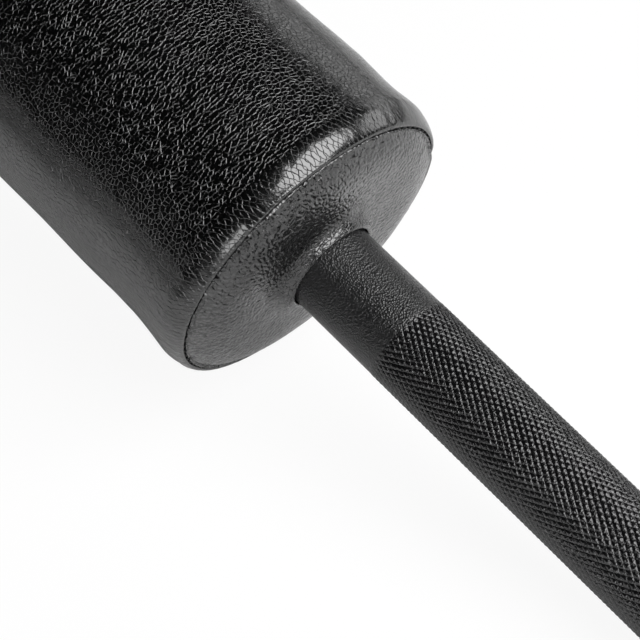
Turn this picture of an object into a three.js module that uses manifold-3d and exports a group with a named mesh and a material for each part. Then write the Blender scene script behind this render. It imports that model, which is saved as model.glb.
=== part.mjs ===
// Safety squat bar, in millimetres, lying on the floor as it rests between sets.
// +X runs along the bar, the two handles point towards -Y, and +Z is up. The origin is on the floor,
// under the middle of the whole bar.
//
// A long steel tube dips at both ends to carry two turning sleeves for the weight plates. Two horns are
// welded to its middle, coped to its round side. Each horn is padded next to the tube and ends in a bare,
// knurled handle, and a third pad lies along the tube behind the neck.
// The turning sleeve and its bearings take the most care here: a journal, two bushings between shoulders,
// a seal, two thrust washers, a retaining ring, and an end cap behind a ring of its own.

import * as THREE from "three";
import { mergeVertices } from "three/addons/utils/BufferGeometryUtils.js";
import Module from "manifold-3d";

const wasm = await Module();
wasm.setup();

const degrees = Math.PI / 180;

// Clearances
const seat = 0.3; // between two pieces that seat on, or turn on, each other
const overrun = 25; // how far a cutter reaches past what it cuts

// Main tube, bent in an S at each end
const tubeRadius = 19;
const tubeWall = 6;
const straightHalf = 600; // middle of the bar to the first bend
const bendRadius = 52; // of the tube's centreline
const bendAngle = 60 * degrees;
const camberDrop = 83; // sleeve axis below the tube's axis, with the handles level
const camberReach = 30; // sleeve axis ahead of the tube's axis, towards the handles
const tubeTail = 20; // straight length after the second bend

// Horns and handles
const hornRadius = 14;
const hornWall = 4;
const hornSpacing = 236; // between the two horns' axes
const hornWeldRadius = 4.5; // bead where a horn meets the tube
const handleLength = 150; // bare length in front of the shoulder pad
const plugHead = 4;
const plugStem = 16;
const plugRound = 1.6;
const plugTaper = 1.2;

// Pads: a split foam core in a sewn cover
const padRadius = 49.5;
const leather = 1.4;
const neckPadLength = 380;
const shoulderPadLength = 155; // from the neck pad's surface to the seam at the front
const seamRadius = 48; // circle on which the end panel is sewn to the wrap
const rimSwell = 1.4; // the wrap swells out next to its seam
const rimCrest = 4.5; // distance of the swell's crest from the seam
const rimSwellLength = 17;
const faceRise = 3.4; // crown of the end panel
const lipReach = 7.5; // front of the panel's lip past the seam
const lipRoll = 1.3; // radius of the rolled hem round the tube
const lipSpread = 7; // width of the fillet from the tube to the crowned face
const hemDepth = 6; // hem turned in along the tube, behind the seam
const foamSlit = 2; // the neck foam is slit so that it opens over the tube
const foamEdge = 3; // bevel on the rim of a foam core

// Hook-and-loop closure of the neck pad's cover
const hookTape = 1.2;
const hookHalfAngle = 13 * degrees;
const flapHalfAngle = 19 * degrees;
const closureTurn = 24 * degrees; // from straight down, towards the back
const closureInset = 24; // from each end of the pad

// Spindle, welded into each end of the tube
const journalRadius = 14;
const spindleFlange = 6;
const weldCrown = 1.8; // bead of the butt weld, above the tube
const journalChamfer = 1.5;
const journalSetback = 16; // journal's end inside the sleeve's end

// Sleeve and stop collar
const sleeveRadius = 25;
const loadableLength = 390;
const collarRadius = 38;
const collarWidth = 25;
const collarChamfer = 2;
const sleeveChamfer = 1.6;
const sleeveRelief = 3; // bore between the bushings, clear of the journal
const capWall = 3.7; // sleeve's wall round the end cap

// Bearings and retention
const bushingWall = 4;
const bushingLength = 38;
const sealWidth = 4;
const washerThickness = 2.5;
const ringThickness = 1.75;
const ringGrooveDepth = 1.2;
const ringWidth = 3.6;
const ringLug = 2.6; // how far a lug stands out from the ring
const ringLugAngle = 16 * degrees;
const ringGapAngle = 14 * degrees; // half of the ring's opening
const ringHoleRadius = 1;
const ringInset = 4; // from the journal's end
const capThickness = 6;
const capRingInset = 1.5; // from the sleeve's end
const capDishDepth = 1;
const capDishShare = 0.56; // of the cap's radius
const capChamfer = 0.8;

// Facets round each kind of piece
const tubeSides = 20;
const padSides = 28;
const sleeveSides = 32;
const bearingSides = 20;
const bendSteps = 5;
const curveSteps = 2; // along a quarter round of a profile
const crownSteps = 2; // from an end panel's edge to its lip
const ringSteps = 7; // half of the facets along a retaining ring

// Materials
function finish(color, roughness, metalness) {
  return new THREE.MeshStandardMaterial({ color, roughness, metalness });
}
const blackCoat = finish(0x121212, 0.5, 0.4);
const blackLeather = finish(0x0c0c0c, 0.38, 0);
const greyFoam = finish(0x3a3a3c, 0.95, 0);
const hookNylon = finish(0x101010, 0.9, 0);
const chrome = finish(0xc9cbcd, 0.16, 1);
const turnedSteel = finish(0x8d8f92, 0.32, 1);
const bronze = finish(0xa9713a, 0.38, 1);
const springSteel = finish(0x2b2b2d, 0.4, 0.9);
const blackRubber = finish(0x151515, 0.85, 0);
const blackPlastic = finish(0x141414, 0.6, 0);

// A piece turned about +X. Each point of the profile is [radius, distance along X].
function turned(profile, sides) {
  const points = profile.map(([radius, along]) => new THREE.Vector2(radius, along));
  return new THREE.LatheGeometry(points, sides).rotateZ(-Math.PI / 2);
}

function turnedRing(profile, sides) {
  return turned([...profile, profile[0]], sides);
}

function plainRing(innerRadius, outerRadius, start, end, sides) {
  return turnedRing([[innerRadius, start], [outerRadius, start], [outerRadius, end], [innerRadius, end]], sides);
}

// Points of a quarter round between two ends. It leaves the first along the radius and reaches the second
// along the axis.
function quarterRound(from, to) {
  const points = [];
  for (let i = 1; i < curveSteps; i++) {
    const angle = (i / curveSteps) * (Math.PI / 2);
    const radialShare = Math.sin(angle);
    const axialShare = 1 - Math.cos(angle);
    points.push([from[0] + (to[0] - from[0]) * radialShare, from[1] + (to[1] - from[1]) * axialShare]);
  }
  return points;
}

// Joins and cuts
function solid(geometry) {
  const bare = geometry.clone();
  bare.deleteAttribute("normal");
  bare.deleteAttribute("uv");
  const merged = mergeVertices(bare);
  const vertProperties = merged.attributes.position.array;
  const triVerts = new Uint32Array(merged.index.array);
  return new wasm.Manifold(new wasm.Mesh({ numProp: 3, vertProperties, triVerts }));
}

function geometryOf(manifold) {
  const mesh = manifold.getMesh();
  const geometry = new THREE.BufferGeometry();
  geometry.setAttribute("position", new THREE.BufferAttribute(mesh.vertProperties, 3));
  geometry.setIndex(new THREE.BufferAttribute(mesh.triVerts, 1));
  geometry.computeVertexNormals();
  return geometry;
}

function part(name, geometry, material) {
  const mesh = new THREE.Mesh(geometry, material);
  mesh.name = name;
  return mesh;
}

// Main tube. The path is counted in stations, so a straight run takes one step and a bend several.
const camber = Math.hypot(camberDrop, camberReach);
const bendRun = (camber - 2 * bendRadius * (1 - Math.cos(bendAngle))) / Math.sin(bendAngle);
const bendReach = 2 * bendRadius * Math.sin(bendAngle) + bendRun * Math.cos(bendAngle);
const tubeEnd = straightHalf + bendReach + tubeTail;
const camberDirection = new THREE.Vector3(0, -camberReach, -camberDrop).normalize();

function rightHalfStations() {
  const stations = [];
  const add = (x, drop, angle) => stations.push({ x, drop, angle });
  for (let i = 0; i <= bendSteps; i++) {
    const angle = (bendAngle * i) / bendSteps;
    add(straightHalf + bendRadius * Math.sin(angle), bendRadius * (1 - Math.cos(angle)), angle);
  }
  for (let i = bendSteps; i >= 0; i--) {
    const angle = (bendAngle * i) / bendSteps;
    add(tubeEnd - tubeTail - bendRadius * Math.sin(angle), camber - bendRadius * (1 - Math.cos(angle)), angle);
  }
  add(tubeEnd, camber, 0);
  return stations;
}

class BentTubePath extends THREE.Curve {
  constructor() {
    super();
    const right = rightHalfStations();
    const left = right.map(({ x, drop, angle }) => ({ x: -x, drop, angle: -angle })).reverse();
    this.stations = [...left, ...right];
  }

  stationAt(share) {
    return this.stations[Math.round(share * (this.stations.length - 1))];
  }

  getPointAt(share) {
    const { x, drop } = this.stationAt(share);
    return camberDirection.clone().multiplyScalar(drop).add(new THREE.Vector3(x, 0, 0));
  }

  getTangentAt(share) {
    const { angle } = this.stationAt(share);
    return camberDirection.clone().multiplyScalar(Math.sin(angle)).add(new THREE.Vector3(Math.cos(angle), 0, 0));
  }
}

function circle(radius) {
  return new THREE.Shape().absarc(0, 0, radius, 0, 2 * Math.PI);
}

function mainTube() {
  const section = circle(tubeRadius);
  section.holes.push(circle(tubeRadius - tubeWall));
  const path = new BentTubePath();
  const steps = path.stations.length - 1;
  return new THREE.ExtrudeGeometry(section, { extrudePath: path, steps, curveSegments: tubeSides / 2 });
}

// Horns. In a horn's own frame +X runs out along its axis, from the main tube's axis, and the tube lies along Y.
const wrapFront = padRadius + seat + shoulderPadLength; // the seam at the front of the shoulder pad
const lipFront = wrapFront + lipReach;
const handleEnd = lipFront + handleLength;

class CopeCurve extends THREE.Curve {
  getPoint(share) {
    const angle = 2 * Math.PI * share;
    const across = hornRadius * Math.cos(angle);
    const up = hornRadius * Math.sin(angle);
    return new THREE.Vector3(Math.sqrt(tubeRadius ** 2 - up ** 2), across, up);
  }
}

function tubeCutter(radius) {
  return solid(new THREE.CylinderGeometry(radius, radius, 2 * (padRadius + overrun), padSides));
}

function horn() {
  const pipe = solid(plainRing(hornRadius - hornWall, hornRadius, 0, handleEnd, tubeSides));
  const bead = solid(new THREE.TubeGeometry(new CopeCurve(), tubeSides, hornWeldRadius, 2 * curveSteps, true));
  const bore = solid(plainRodFrom(-overrun, hornRadius - hornWall, 2 * hornWeldRadius + tubeRadius));
  return geometryOf(pipe.add(bead.subtract(bore)).subtract(tubeCutter(tubeRadius + seat)));
}

function plainRodFrom(start, radius, end) {
  return turned([[0, start], [radius, start], [radius, end], [0, end]], tubeSides);
}

function handlePlug() {
  const stemRadius = hornRadius - hornWall - seat;
  const headStart = handleEnd + seat;
  const headEnd = headStart + plugHead;
  const edge = [hornRadius, headEnd - plugRound];
  const face = [hornRadius - plugRound, headEnd];
  const round = quarterRound(face, edge).reverse();
  return turned(
    [
      [0, handleEnd - plugStem],
      [stemRadius - plugTaper, handleEnd - plugStem],
      [stemRadius, handleEnd - plugStem + plugTaper],
      [stemRadius, headStart],
      [hornRadius, headStart],
      edge,
      ...round,
      face,
      [0, headEnd],
    ],
    tubeSides,
  );
}

// Pads. Each front outline starts at the seam: [radius, distance in front of the seam's plane].
const wrapInner = padRadius - leather;
const foamRadius = wrapInner - seat;

// Outside of the wrap, from the seam over the swelling next to it to the pad's plain round.
function rimOutside() {
  const seam = [seamRadius, 0];
  const crest = [padRadius + rimSwell, -rimCrest];
  const points = [seam, ...quarterRound(seam, crest), crest];
  const steps = 2 * curveSteps;
  for (let i = 1; i <= steps; i++) {
    const swell = (rimSwell / 2) * (1 + Math.cos((Math.PI * i) / steps));
    points.push([padRadius + swell, -rimCrest - ((rimSwellLength - rimCrest) * i) / steps]);
  }
  return points;
}

// Inside of the wrap. The seam's turned-in edges fill the swelling.
function rimInside() {
  return [[seamRadius, -leather], [wrapInner, -rimSwellLength]];
}

function faceAt(radius, pipeRadius) {
  const root = pipeRadius + lipSpread;
  const share = Math.max(0, (radius - root) / (seamRadius - seat - root));
  return faceRise * (1 - share ** 2);
}

function crownedFace(pipeRadius, depth, edgeRadius) {
  const root = pipeRadius + lipSpread;
  const points = [];
  for (let i = 0; i <= crownSteps; i++) {
    const radius = edgeRadius + ((root - edgeRadius) * i) / crownSteps;
    points.push([radius, faceAt(radius, pipeRadius) - depth]);
  }
  return points;
}

function endPanel(pipeRadius) {
  const bore = pipeRadius + seat;
  const hemOuter = bore + leather;
  const lipOuter = bore + 2 * lipRoll;
  const rollCentre = lipReach - lipRoll;
  const root = [pipeRadius + lipSpread, faceRise];
  const lip = [];
  for (let i = 0; i <= 2 * curveSteps; i++) {
    const angle = (Math.PI * i) / (2 * curveSteps);
    lip.push([bore + lipRoll + lipRoll * Math.cos(angle), rollCentre + lipRoll * Math.sin(angle)]);
  }
  return turnedRing(
    [
      ...crownedFace(pipeRadius, 0, seamRadius - seat),
      ...quarterRound(root, [lipOuter, rollCentre]),
      ...lip,
      [bore, -hemDepth],
      [hemOuter, -hemDepth],
      [hemOuter, faceRise - leather],
      ...crownedFace(pipeRadius, leather, seamRadius - seat).reverse(),
    ],
    padSides,
  );
}

// Front end of a foam core, from its bore out to its rim.
function foamFront(pipeRadius) {
  const depth = leather + seat;
  const hemBore = pipeRadius + seat + leather + seat;
  return [
    [pipeRadius + seat, -hemDepth - seat],
    [hemBore, -hemDepth - seat],
    [hemBore, faceRise - depth],
    ...crownedFace(pipeRadius, depth, seamRadius - foamEdge - seat).reverse(),
    [foamRadius, -depth - foamEdge],
  ];
}

const movedAlong = (points, distance) => points.map(([radius, along]) => [radius, along + distance]);
const mirrored = (points) => points.map(([radius, along]) => [radius, -along]).reverse();

function shoulderWrap() {
  const outer = movedAlong(rimOutside(), wrapFront);
  const inner = movedAlong(rimInside(), wrapFront).reverse();
  const shell = turnedRing([...outer, [padRadius, 0], [wrapInner, 0], ...inner].reverse(), padSides);
  return geometryOf(solid(shell).subtract(tubeCutter(padRadius + seat)));
}

function shoulderFoam() {
  const front = movedAlong(foamFront(hornRadius), wrapFront);
  const core = turnedRing([[hornRadius + seat, 0], ...front, [foamRadius, 0]].reverse(), padSides);
  return geometryOf(solid(core).subtract(tubeCutter(padRadius + seat)));
}

// A hole for each horn through what lies along the main tube.
function hornHoles(radius, start, end) {
  const across = new THREE.CylinderGeometry(radius, radius, end - start, tubeSides);
  across.translate(0, -(start + end) / 2, 0);
  const left = solid(across.clone().translate(-hornSpacing / 2, 0, 0));
  return left.add(solid(across.translate(hornSpacing / 2, 0, 0)));
}

function neckWrap() {
  const outer = movedAlong(rimOutside(), neckPadLength / 2);
  const inner = movedAlong(rimInside(), neckPadLength / 2).reverse();
  const shell = turnedRing([...outer, ...mirrored(outer), ...mirrored(inner), ...inner].reverse(), padSides);
  return geometryOf(solid(shell).subtract(hornHoles(hornRadius + seat, 0, padRadius + overrun)));
}

function neckFoam() {
  const front = movedAlong(foamFront(tubeRadius), neckPadLength / 2);
  const core = solid(turnedRing([...mirrored(front), ...front].reverse(), padSides));
  const beadRoom = hornHoles(hornRadius + hornWeldRadius + seat, 0, tubeRadius + hornWeldRadius + seat);
  const slit = new THREE.BoxGeometry(neckPadLength + 2 * overrun, foamSlit, padRadius + overrun);
  slit.translate(0, 0, -(padRadius + overrun) / 2).rotateX(closureTurn);
  return geometryOf(
    core.subtract(hornHoles(hornRadius + seat, 0, padRadius + overrun)).subtract(beadRoom).subtract(solid(slit)),
  );
}

// A strip that lies along the neck pad's underside, curved to its round.
function closureStrip(innerRadius, thickness, halfAngle) {
  const outline = new THREE.Shape();
  outline.absarc(0, 0, innerRadius, -halfAngle, halfAngle, false);
  outline.absarc(0, 0, innerRadius + thickness, halfAngle, -halfAngle, true);
  const depth = neckPadLength - 2 * closureInset;
  const strip = new THREE.ExtrudeGeometry(outline, { depth, bevelEnabled: false, curveSegments: 2 * curveSteps });
  return strip.translate(0, 0, -depth / 2).rotateY(Math.PI / 2).rotateX(closureTurn);
}

const hookInner = padRadius + seat;
const flapInner = hookInner + hookTape + seat;

// Sleeves. In a sleeve's own frame the axis is +X, which starts at the main tube's end and points outwards.
const flangeEnd = seat + spindleFlange;
const innerWasherStart = flangeEnd + seat;
const sleeveStart = innerWasherStart + washerThickness + seat;
const collarEnd = sleeveStart + collarWidth;
const sleeveEnd = collarEnd + loadableLength;
const bushingBore = journalRadius + seat;
const bushingRadius = bushingBore + bushingWall;
const bearingSeat = bushingRadius + seat;
const sealStart = sleeveStart + seat;
const innerBushingStart = sealStart + sealWidth + seat;
const innerSeatEnd = innerBushingStart + bushingLength + seat;
const journalEnd = sleeveEnd - journalSetback;
const ringOuter = journalEnd - ringInset;
const ringInner = ringOuter - ringThickness;
const outerWasherStart = ringInner - seat - washerThickness;
const outerBushingEnd = outerWasherStart - seat;
const outerSeatStart = outerBushingEnd - bushingLength - seat;
const capSeatRadius = sleeveRadius - capWall;
const capRingEnd = sleeveEnd - capRingInset;
const capRingStart = capRingEnd - ringThickness;
const capEnd = capRingStart - seat;

function spindle() {
  const shankRadius = tubeRadius - tubeWall - seat;
  const grooveRadius = journalRadius - ringGrooveDepth;
  return turned(
    [
      [0, seat - tubeTail],
      [shankRadius - journalChamfer, seat - tubeTail],
      [shankRadius, seat - tubeTail + journalChamfer],
      [shankRadius, seat],
      [tubeRadius, seat],
      [tubeRadius + weldCrown, seat + spindleFlange / 4],
      [tubeRadius + weldCrown, seat + spindleFlange / 2],
      [tubeRadius, seat + (spindleFlange * 3) / 4],
      [tubeRadius, flangeEnd],
      [journalRadius, flangeEnd],
      [journalRadius, ringInner - seat / 2],
      [grooveRadius, ringInner - seat / 2],
      [grooveRadius, ringOuter + seat / 2],
      [journalRadius, ringOuter + seat / 2],
      [journalRadius, journalEnd - journalChamfer],
      [journalRadius - journalChamfer, journalEnd],
      [0, journalEnd],
    ],
    bearingSides,
  );
}

function sleeve() {
  const middleBore = journalRadius + sleeveRelief;
  const ringGroove = capSeatRadius + ringGrooveDepth;
  return turnedRing(
    [
      [bearingSeat, sleeveStart],
      [sleeveRadius, sleeveStart],
      [sleeveRadius, sleeveEnd - sleeveChamfer],
      [sleeveRadius - sleeveChamfer, sleeveEnd],
      [capSeatRadius, sleeveEnd],
      [capSeatRadius, capRingEnd + seat / 2],
      [ringGroove, capRingEnd + seat / 2],
      [ringGroove, capRingStart - seat / 2],
      [capSeatRadius, capRingStart - seat / 2],
      [capSeatRadius, outerBushingEnd],
      [bearingSeat, outerBushingEnd],
      [bearingSeat, outerSeatStart],
      [middleBore, outerSeatStart],
      [middleBore, innerSeatEnd],
      [bearingSeat, innerSeatEnd],
    ],
    sleeveSides,
  );
}

function stopCollar() {
  return turnedRing(
    [
      [sleeveRadius + seat, sleeveStart],
      [collarRadius - collarChamfer, sleeveStart],
      [collarRadius, sleeveStart + collarChamfer],
      [collarRadius, collarEnd - collarChamfer],
      [collarRadius - collarChamfer, collarEnd],
      [sleeveRadius + seat, collarEnd],
    ],
    sleeveSides,
  );
}

// A C-shaped retaining ring with two drilled lugs. It is plain on the side of plainRadius, and its lugs
// stand out past rimRadius, to lugRadius, on the other.
function retainingRing(plainRadius, rimRadius, lugRadius, start) {
  const lugStart = ringGapAngle;
  const lugEnd = ringGapAngle + ringLugAngle;
  const turn = 2 * Math.PI;
  const outline = new THREE.Shape();
  outline.absarc(0, 0, plainRadius, lugStart, turn - lugStart, false);
  outline.absarc(0, 0, lugRadius, turn - lugStart, turn - lugEnd, true);
  outline.absarc(0, 0, rimRadius, turn - lugEnd, lugEnd, true);
  outline.absarc(0, 0, lugRadius, lugEnd, lugStart, true);
  const holeRing = (plainRadius + lugRadius) / 2;
  for (const side of [1, -1]) {
    const angle = (side * (lugStart + lugEnd)) / 2;
    const hole = new THREE.Path();
    hole.absarc(holeRing * Math.cos(angle), holeRing * Math.sin(angle), ringHoleRadius, 0, turn);
    outline.holes.push(hole);
  }
  const options = { depth: ringThickness, bevelEnabled: false, curveSegments: ringSteps };
  return new THREE.ExtrudeGeometry(outline, options).rotateY(Math.PI / 2).translate(start, 0, 0);
}

function journalRing() {
  const plain = journalRadius - ringGrooveDepth + seat;
  return retainingRing(plain, plain + ringWidth, plain + ringWidth + ringLug, ringInner);
}

function capRing() {
  const plain = capSeatRadius + ringGrooveDepth - seat;
  return retainingRing(plain, plain - ringWidth, plain - ringWidth - ringLug, capRingStart);
}

function endCap() {
  const radius = capSeatRadius - seat;
  const dish = radius * capDishShare;
  return turned(
    [
      [0, capEnd - capThickness],
      [radius, capEnd - capThickness],
      [radius, capEnd - capChamfer],
      [radius - capChamfer, capEnd],
      [dish, capEnd],
      [dish - capDishDepth, capEnd - capDishDepth],
      [0, capEnd - capDishDepth],
    ],
    bearingSides,
  );
}

function thrustWasher(start) {
  return plainRing(bushingBore, capSeatRadius - seat, start, start + washerThickness, bearingSides);
}

function seal() {
  return plainRing(bushingBore, bushingRadius, sealStart, sealStart + sealWidth, bearingSides);
}

function bushing(start) {
  return plainRing(bushingBore, bushingRadius, start, start + bushingLength, bearingSides);
}

// How far the bar leans on the floor, where each stop collar and each handle's end touch it. With the handles
// level, the end's rounded edge is ahead of the collar by leanReach and above the sleeve's axis by leanDrop.
const tipReach = handleEnd + seat + plugHead;
const leanReach = tipReach - plugRound - camberReach;
const leanDrop = camberDrop - (hornRadius - plugRound);
const leanOverCollar = Math.asin((collarRadius - plugRound) / Math.hypot(leanReach, leanDrop));
const lean = leanOverCollar + Math.atan2(leanDrop, leanReach);
const axisHeight = collarRadius + camberDrop * Math.cos(lean) + camberReach * Math.sin(lean);
const frontOfBar = -tipReach * Math.cos(lean) - hornRadius * Math.sin(lean);
const backOfBar = padRadius + rimSwell;

const bar = new THREE.Group();
bar.rotation.x = lean;
bar.position.set(0, -(frontOfBar + backOfBar) / 2, axisHeight);

bar.add(part("main_tube", mainTube(), blackCoat));

// Neck pad
bar.add(part("neck_pad_foam", neckFoam(), greyFoam));
bar.add(part("neck_pad_wrap", neckWrap(), blackLeather));
bar.add(part("neck_pad_hook_tape", closureStrip(hookInner, hookTape, hookHalfAngle), hookNylon));
bar.add(part("neck_pad_flap", closureStrip(flapInner, leather, flapHalfAngle), blackLeather));

for (const [side, direction] of [["left", -1], ["right", 1]]) {
  const neckEnd = new THREE.Group();
  neckEnd.position.x = (direction * neckPadLength) / 2;
  neckEnd.rotation.z = direction > 0 ? 0 : Math.PI;
  neckEnd.add(part(`neck_pad_${side}_panel`, endPanel(tubeRadius), blackLeather));
  bar.add(neckEnd);

  // Horn with its shoulder pad
  const arm = new THREE.Group();
  arm.position.x = (direction * hornSpacing) / 2;
  arm.rotation.z = -Math.PI / 2;
  arm.add(part(`${side}_horn`, horn(), blackCoat));
  arm.add(part(`${side}_handle_plug`, handlePlug(), blackPlastic));
  arm.add(part(`${side}_pad_foam`, shoulderFoam(), greyFoam));
  arm.add(part(`${side}_pad_wrap`, shoulderWrap(), blackLeather));
  const panel = part(`${side}_pad_panel`, endPanel(hornRadius), blackLeather);
  panel.position.x = wrapFront;
  arm.add(panel);
  bar.add(arm);

  // Spindle and turning sleeve
  const end = new THREE.Group();
  end.position.copy(camberDirection).multiplyScalar(camber).setX(direction * tubeEnd);
  end.rotation.z = direction > 0 ? 0 : Math.PI;
  end.add(part(`${side}_spindle`, spindle(), turnedSteel));
  end.add(part(`${side}_inner_washer`, thrustWasher(innerWasherStart), bronze));
  end.add(part(`${side}_outer_washer`, thrustWasher(outerWasherStart), bronze));
  end.add(part(`${side}_journal_ring`, journalRing(), springSteel));
  end.add(part(`${side}_sleeve`, sleeve(), chrome));
  end.add(part(`${side}_stop_collar`, stopCollar(), chrome));
  end.add(part(`${side}_seal`, seal(), blackRubber));
  end.add(part(`${side}_inner_bushing`, bushing(innerBushingStart), bronze));
  end.add(part(`${side}_outer_bushing`, bushing(outerBushingEnd - bushingLength), bronze));
  end.add(part(`${side}_end_cap`, endCap(), turnedSteel));
  end.add(part(`${side}_cap_ring`, capRing(), springSteel));
  bar.add(end);
}

const safetySquatBar = new THREE.Group();
safetySquatBar.add(bar);

export default safetySquatBar;
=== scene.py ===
import math
import random

import bpy
from mathutils import Matrix, Vector


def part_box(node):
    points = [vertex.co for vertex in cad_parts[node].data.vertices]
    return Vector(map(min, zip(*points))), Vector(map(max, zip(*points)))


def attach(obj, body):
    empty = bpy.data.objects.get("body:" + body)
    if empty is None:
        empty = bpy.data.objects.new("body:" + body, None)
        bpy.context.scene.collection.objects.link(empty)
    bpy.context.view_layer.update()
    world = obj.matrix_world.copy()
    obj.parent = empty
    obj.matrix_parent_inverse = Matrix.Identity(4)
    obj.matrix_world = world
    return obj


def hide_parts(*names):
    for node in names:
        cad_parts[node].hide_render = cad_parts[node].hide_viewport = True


# The bar lies on the floor, leaning on its stop collars and on the ends of its handles. Sizes are in metres.
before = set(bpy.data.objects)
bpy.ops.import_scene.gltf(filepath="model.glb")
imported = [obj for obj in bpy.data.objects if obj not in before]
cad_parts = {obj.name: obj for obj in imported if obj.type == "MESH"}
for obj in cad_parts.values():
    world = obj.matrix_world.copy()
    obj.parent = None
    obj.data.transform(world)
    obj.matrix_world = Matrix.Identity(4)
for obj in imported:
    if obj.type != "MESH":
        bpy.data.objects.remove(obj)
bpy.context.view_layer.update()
bpy.ops.object.select_all(action="DESELECT")


# Main tube: one length of drawn steel tube, bent in an S at each end so that the plates hang lower than
# the shoulders. It is powder coated in black after welding, with a fine orange-peel texture.
tube_radius = 0.019
tube_wall = 0.006
straight_half = 0.600
bend_radius = 0.052
bend_angle = math.radians(60)
camber_drop = 0.083
camber_reach = 0.030
tube_tail = 0.020
tube_sides = 64
bend_steps = 10
lean = math.radians(18.004)
smooth_angle = math.radians(35)
merge_distance = 0.00001

neck_low, neck_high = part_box("neck_pad_wrap")
shaft_centre = (Vector(neck_low) + Vector(neck_high)) / 2
bar_place = Matrix.Translation(shaft_centre) @ Matrix.Rotation(lean, 4, "X")

half_turn = bend_radius * (1 - math.cos(bend_angle))
camber = math.hypot(camber_drop, camber_reach)
camber_run = (camber - 2 * half_turn) / math.sin(bend_angle)
bend_reach = 2 * bend_radius * math.sin(bend_angle) + camber_run * math.cos(bend_angle)
tube_end = straight_half + bend_reach + tube_tail


def material_of(name):
    """A new material with its output, principled shader and the object's own coordinates."""
    material = bpy.data.materials.new(name)
    material.use_nodes = True
    nodes = material.node_tree.nodes
    nodes.clear()
    output = nodes.new("ShaderNodeOutputMaterial")
    shader = nodes.new("ShaderNodeBsdfPrincipled")
    place = nodes.new("ShaderNodeTexCoord")
    material.node_tree.links.new(shader.outputs["BSDF"], output.inputs["Surface"])
    return material, nodes, material.node_tree.links, shader, place.outputs["Object"]


def noise_at(nodes, links, place, scale, detail=3.0, roughness=0.5):
    noise = nodes.new("ShaderNodeTexNoise")
    noise.inputs["Scale"].default_value = scale
    noise.inputs["Detail"].default_value = detail
    noise.inputs["Roughness"].default_value = roughness
    links.new(place, noise.inputs["Vector"])
    return noise.outputs["Fac"]


def ranged(nodes, links, value, source, target):
    """A value taken from one range to another, smoothly and without going past its ends."""
    step = nodes.new("ShaderNodeMapRange")
    step.interpolation_type = "SMOOTHSTEP"
    step.inputs["From Min"].default_value, step.inputs["From Max"].default_value = source
    step.inputs["To Min"].default_value, step.inputs["To Max"].default_value = target
    links.new(value, step.inputs["Value"])
    return step.outputs["Result"]


def combined(nodes, links, first, operation, second):
    step = nodes.new("ShaderNodeMath")
    step.operation = operation
    for socket, value in zip(step.inputs, (first, second)):
        if isinstance(value, float):
            socket.default_value = value
        else:
            links.new(value, socket)
    return step.outputs["Value"]


def raised(nodes, links, shader, height, distance):
    """Lets a height pattern stand out by the given distance."""
    bump = nodes.new("ShaderNodeBump")
    bump.inputs["Distance"].default_value = distance
    links.new(height, bump.inputs["Height"])
    links.new(bump.outputs["Normal"], shader.inputs["Normal"])


def powder_coat():
    """Fine-textured coat. Where a hand rubs it, on the knurling, it is smoother and glossier."""
    peel_share = 0.25
    rubbed_smoother = 0.12
    rubbed_flatter = 0.6
    grain_height = 0.00023
    material, nodes, links, shader, place = material_of("black_powder_coat")
    rubbed = nodes.new("ShaderNodeAttribute")
    rubbed.attribute_name = "rubbed"
    grains = nodes.new("ShaderNodeTexVoronoi")
    grains.inputs["Scale"].default_value = 1800.0
    links.new(place, grains.inputs["Vector"])
    peel = noise_at(nodes, links, place, scale=1200.0, detail=1.0)
    wear = noise_at(nodes, links, place, scale=60.0, detail=5.0, roughness=0.65)
    shader.inputs["Base Color"].default_value = (0.003, 0.003, 0.0033, 1)
    shader.inputs["Specular IOR Level"].default_value = 0.58
    rough = ranged(nodes, links, wear, (0.35, 0.7), (0.31, 0.37))
    smoother = combined(nodes, links, rubbed.outputs["Fac"], "MULTIPLY", rubbed_smoother)
    links.new(combined(nodes, links, rough, "SUBTRACT", smoother), shader.inputs["Roughness"])
    peel = combined(nodes, links, peel, "MULTIPLY", peel_share)
    height = combined(nodes, links, grains.outputs["Distance"], "ADD", peel)
    kept = combined(nodes, links, rubbed.outputs["Fac"], "MULTIPLY", -rubbed_flatter)
    kept = combined(nodes, links, kept, "ADD", 1.0)
    raised(nodes, links, shader, combined(nodes, links, height, "MULTIPLY", kept), grain_height)
    return material


coat = powder_coat()


def finished(piece, place, material, body, slot, *nodes):
    """Puts a piece's place into its mesh, gives it its material, hangs it on its body and hides the parts it
    stands for.
    """
    piece.data.transform(place)
    piece.matrix_world = Matrix.Identity(4)
    piece.data.materials.clear()
    piece.data.materials.append(material)
    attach(piece, body)
    if nodes:
        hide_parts(*nodes)


def edges_selected(piece, test):
    """In edit mode, selects only the edges whose middle passes a test."""
    bpy.ops.object.mode_set(mode="EDIT")
    bpy.ops.mesh.select_mode(type="EDGE")
    bpy.ops.mesh.select_all(action="DESELECT")
    bpy.ops.object.mode_set(mode="OBJECT")
    for edge in piece.data.edges:
        first, second = (piece.data.vertices[i].co for i in edge.vertices)
        edge.select = test((first + second) / 2)
    bpy.ops.object.mode_set(mode="EDIT")


def applied(piece, kind, **settings):
    """Adds one modifier with its settings and applies it."""
    modifier = piece.modifiers.new(kind.lower(), kind)
    for key, value in settings.items():
        setattr(modifier, key, value)
    bpy.ops.object.modifier_apply(modifier=modifier.name)


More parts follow.
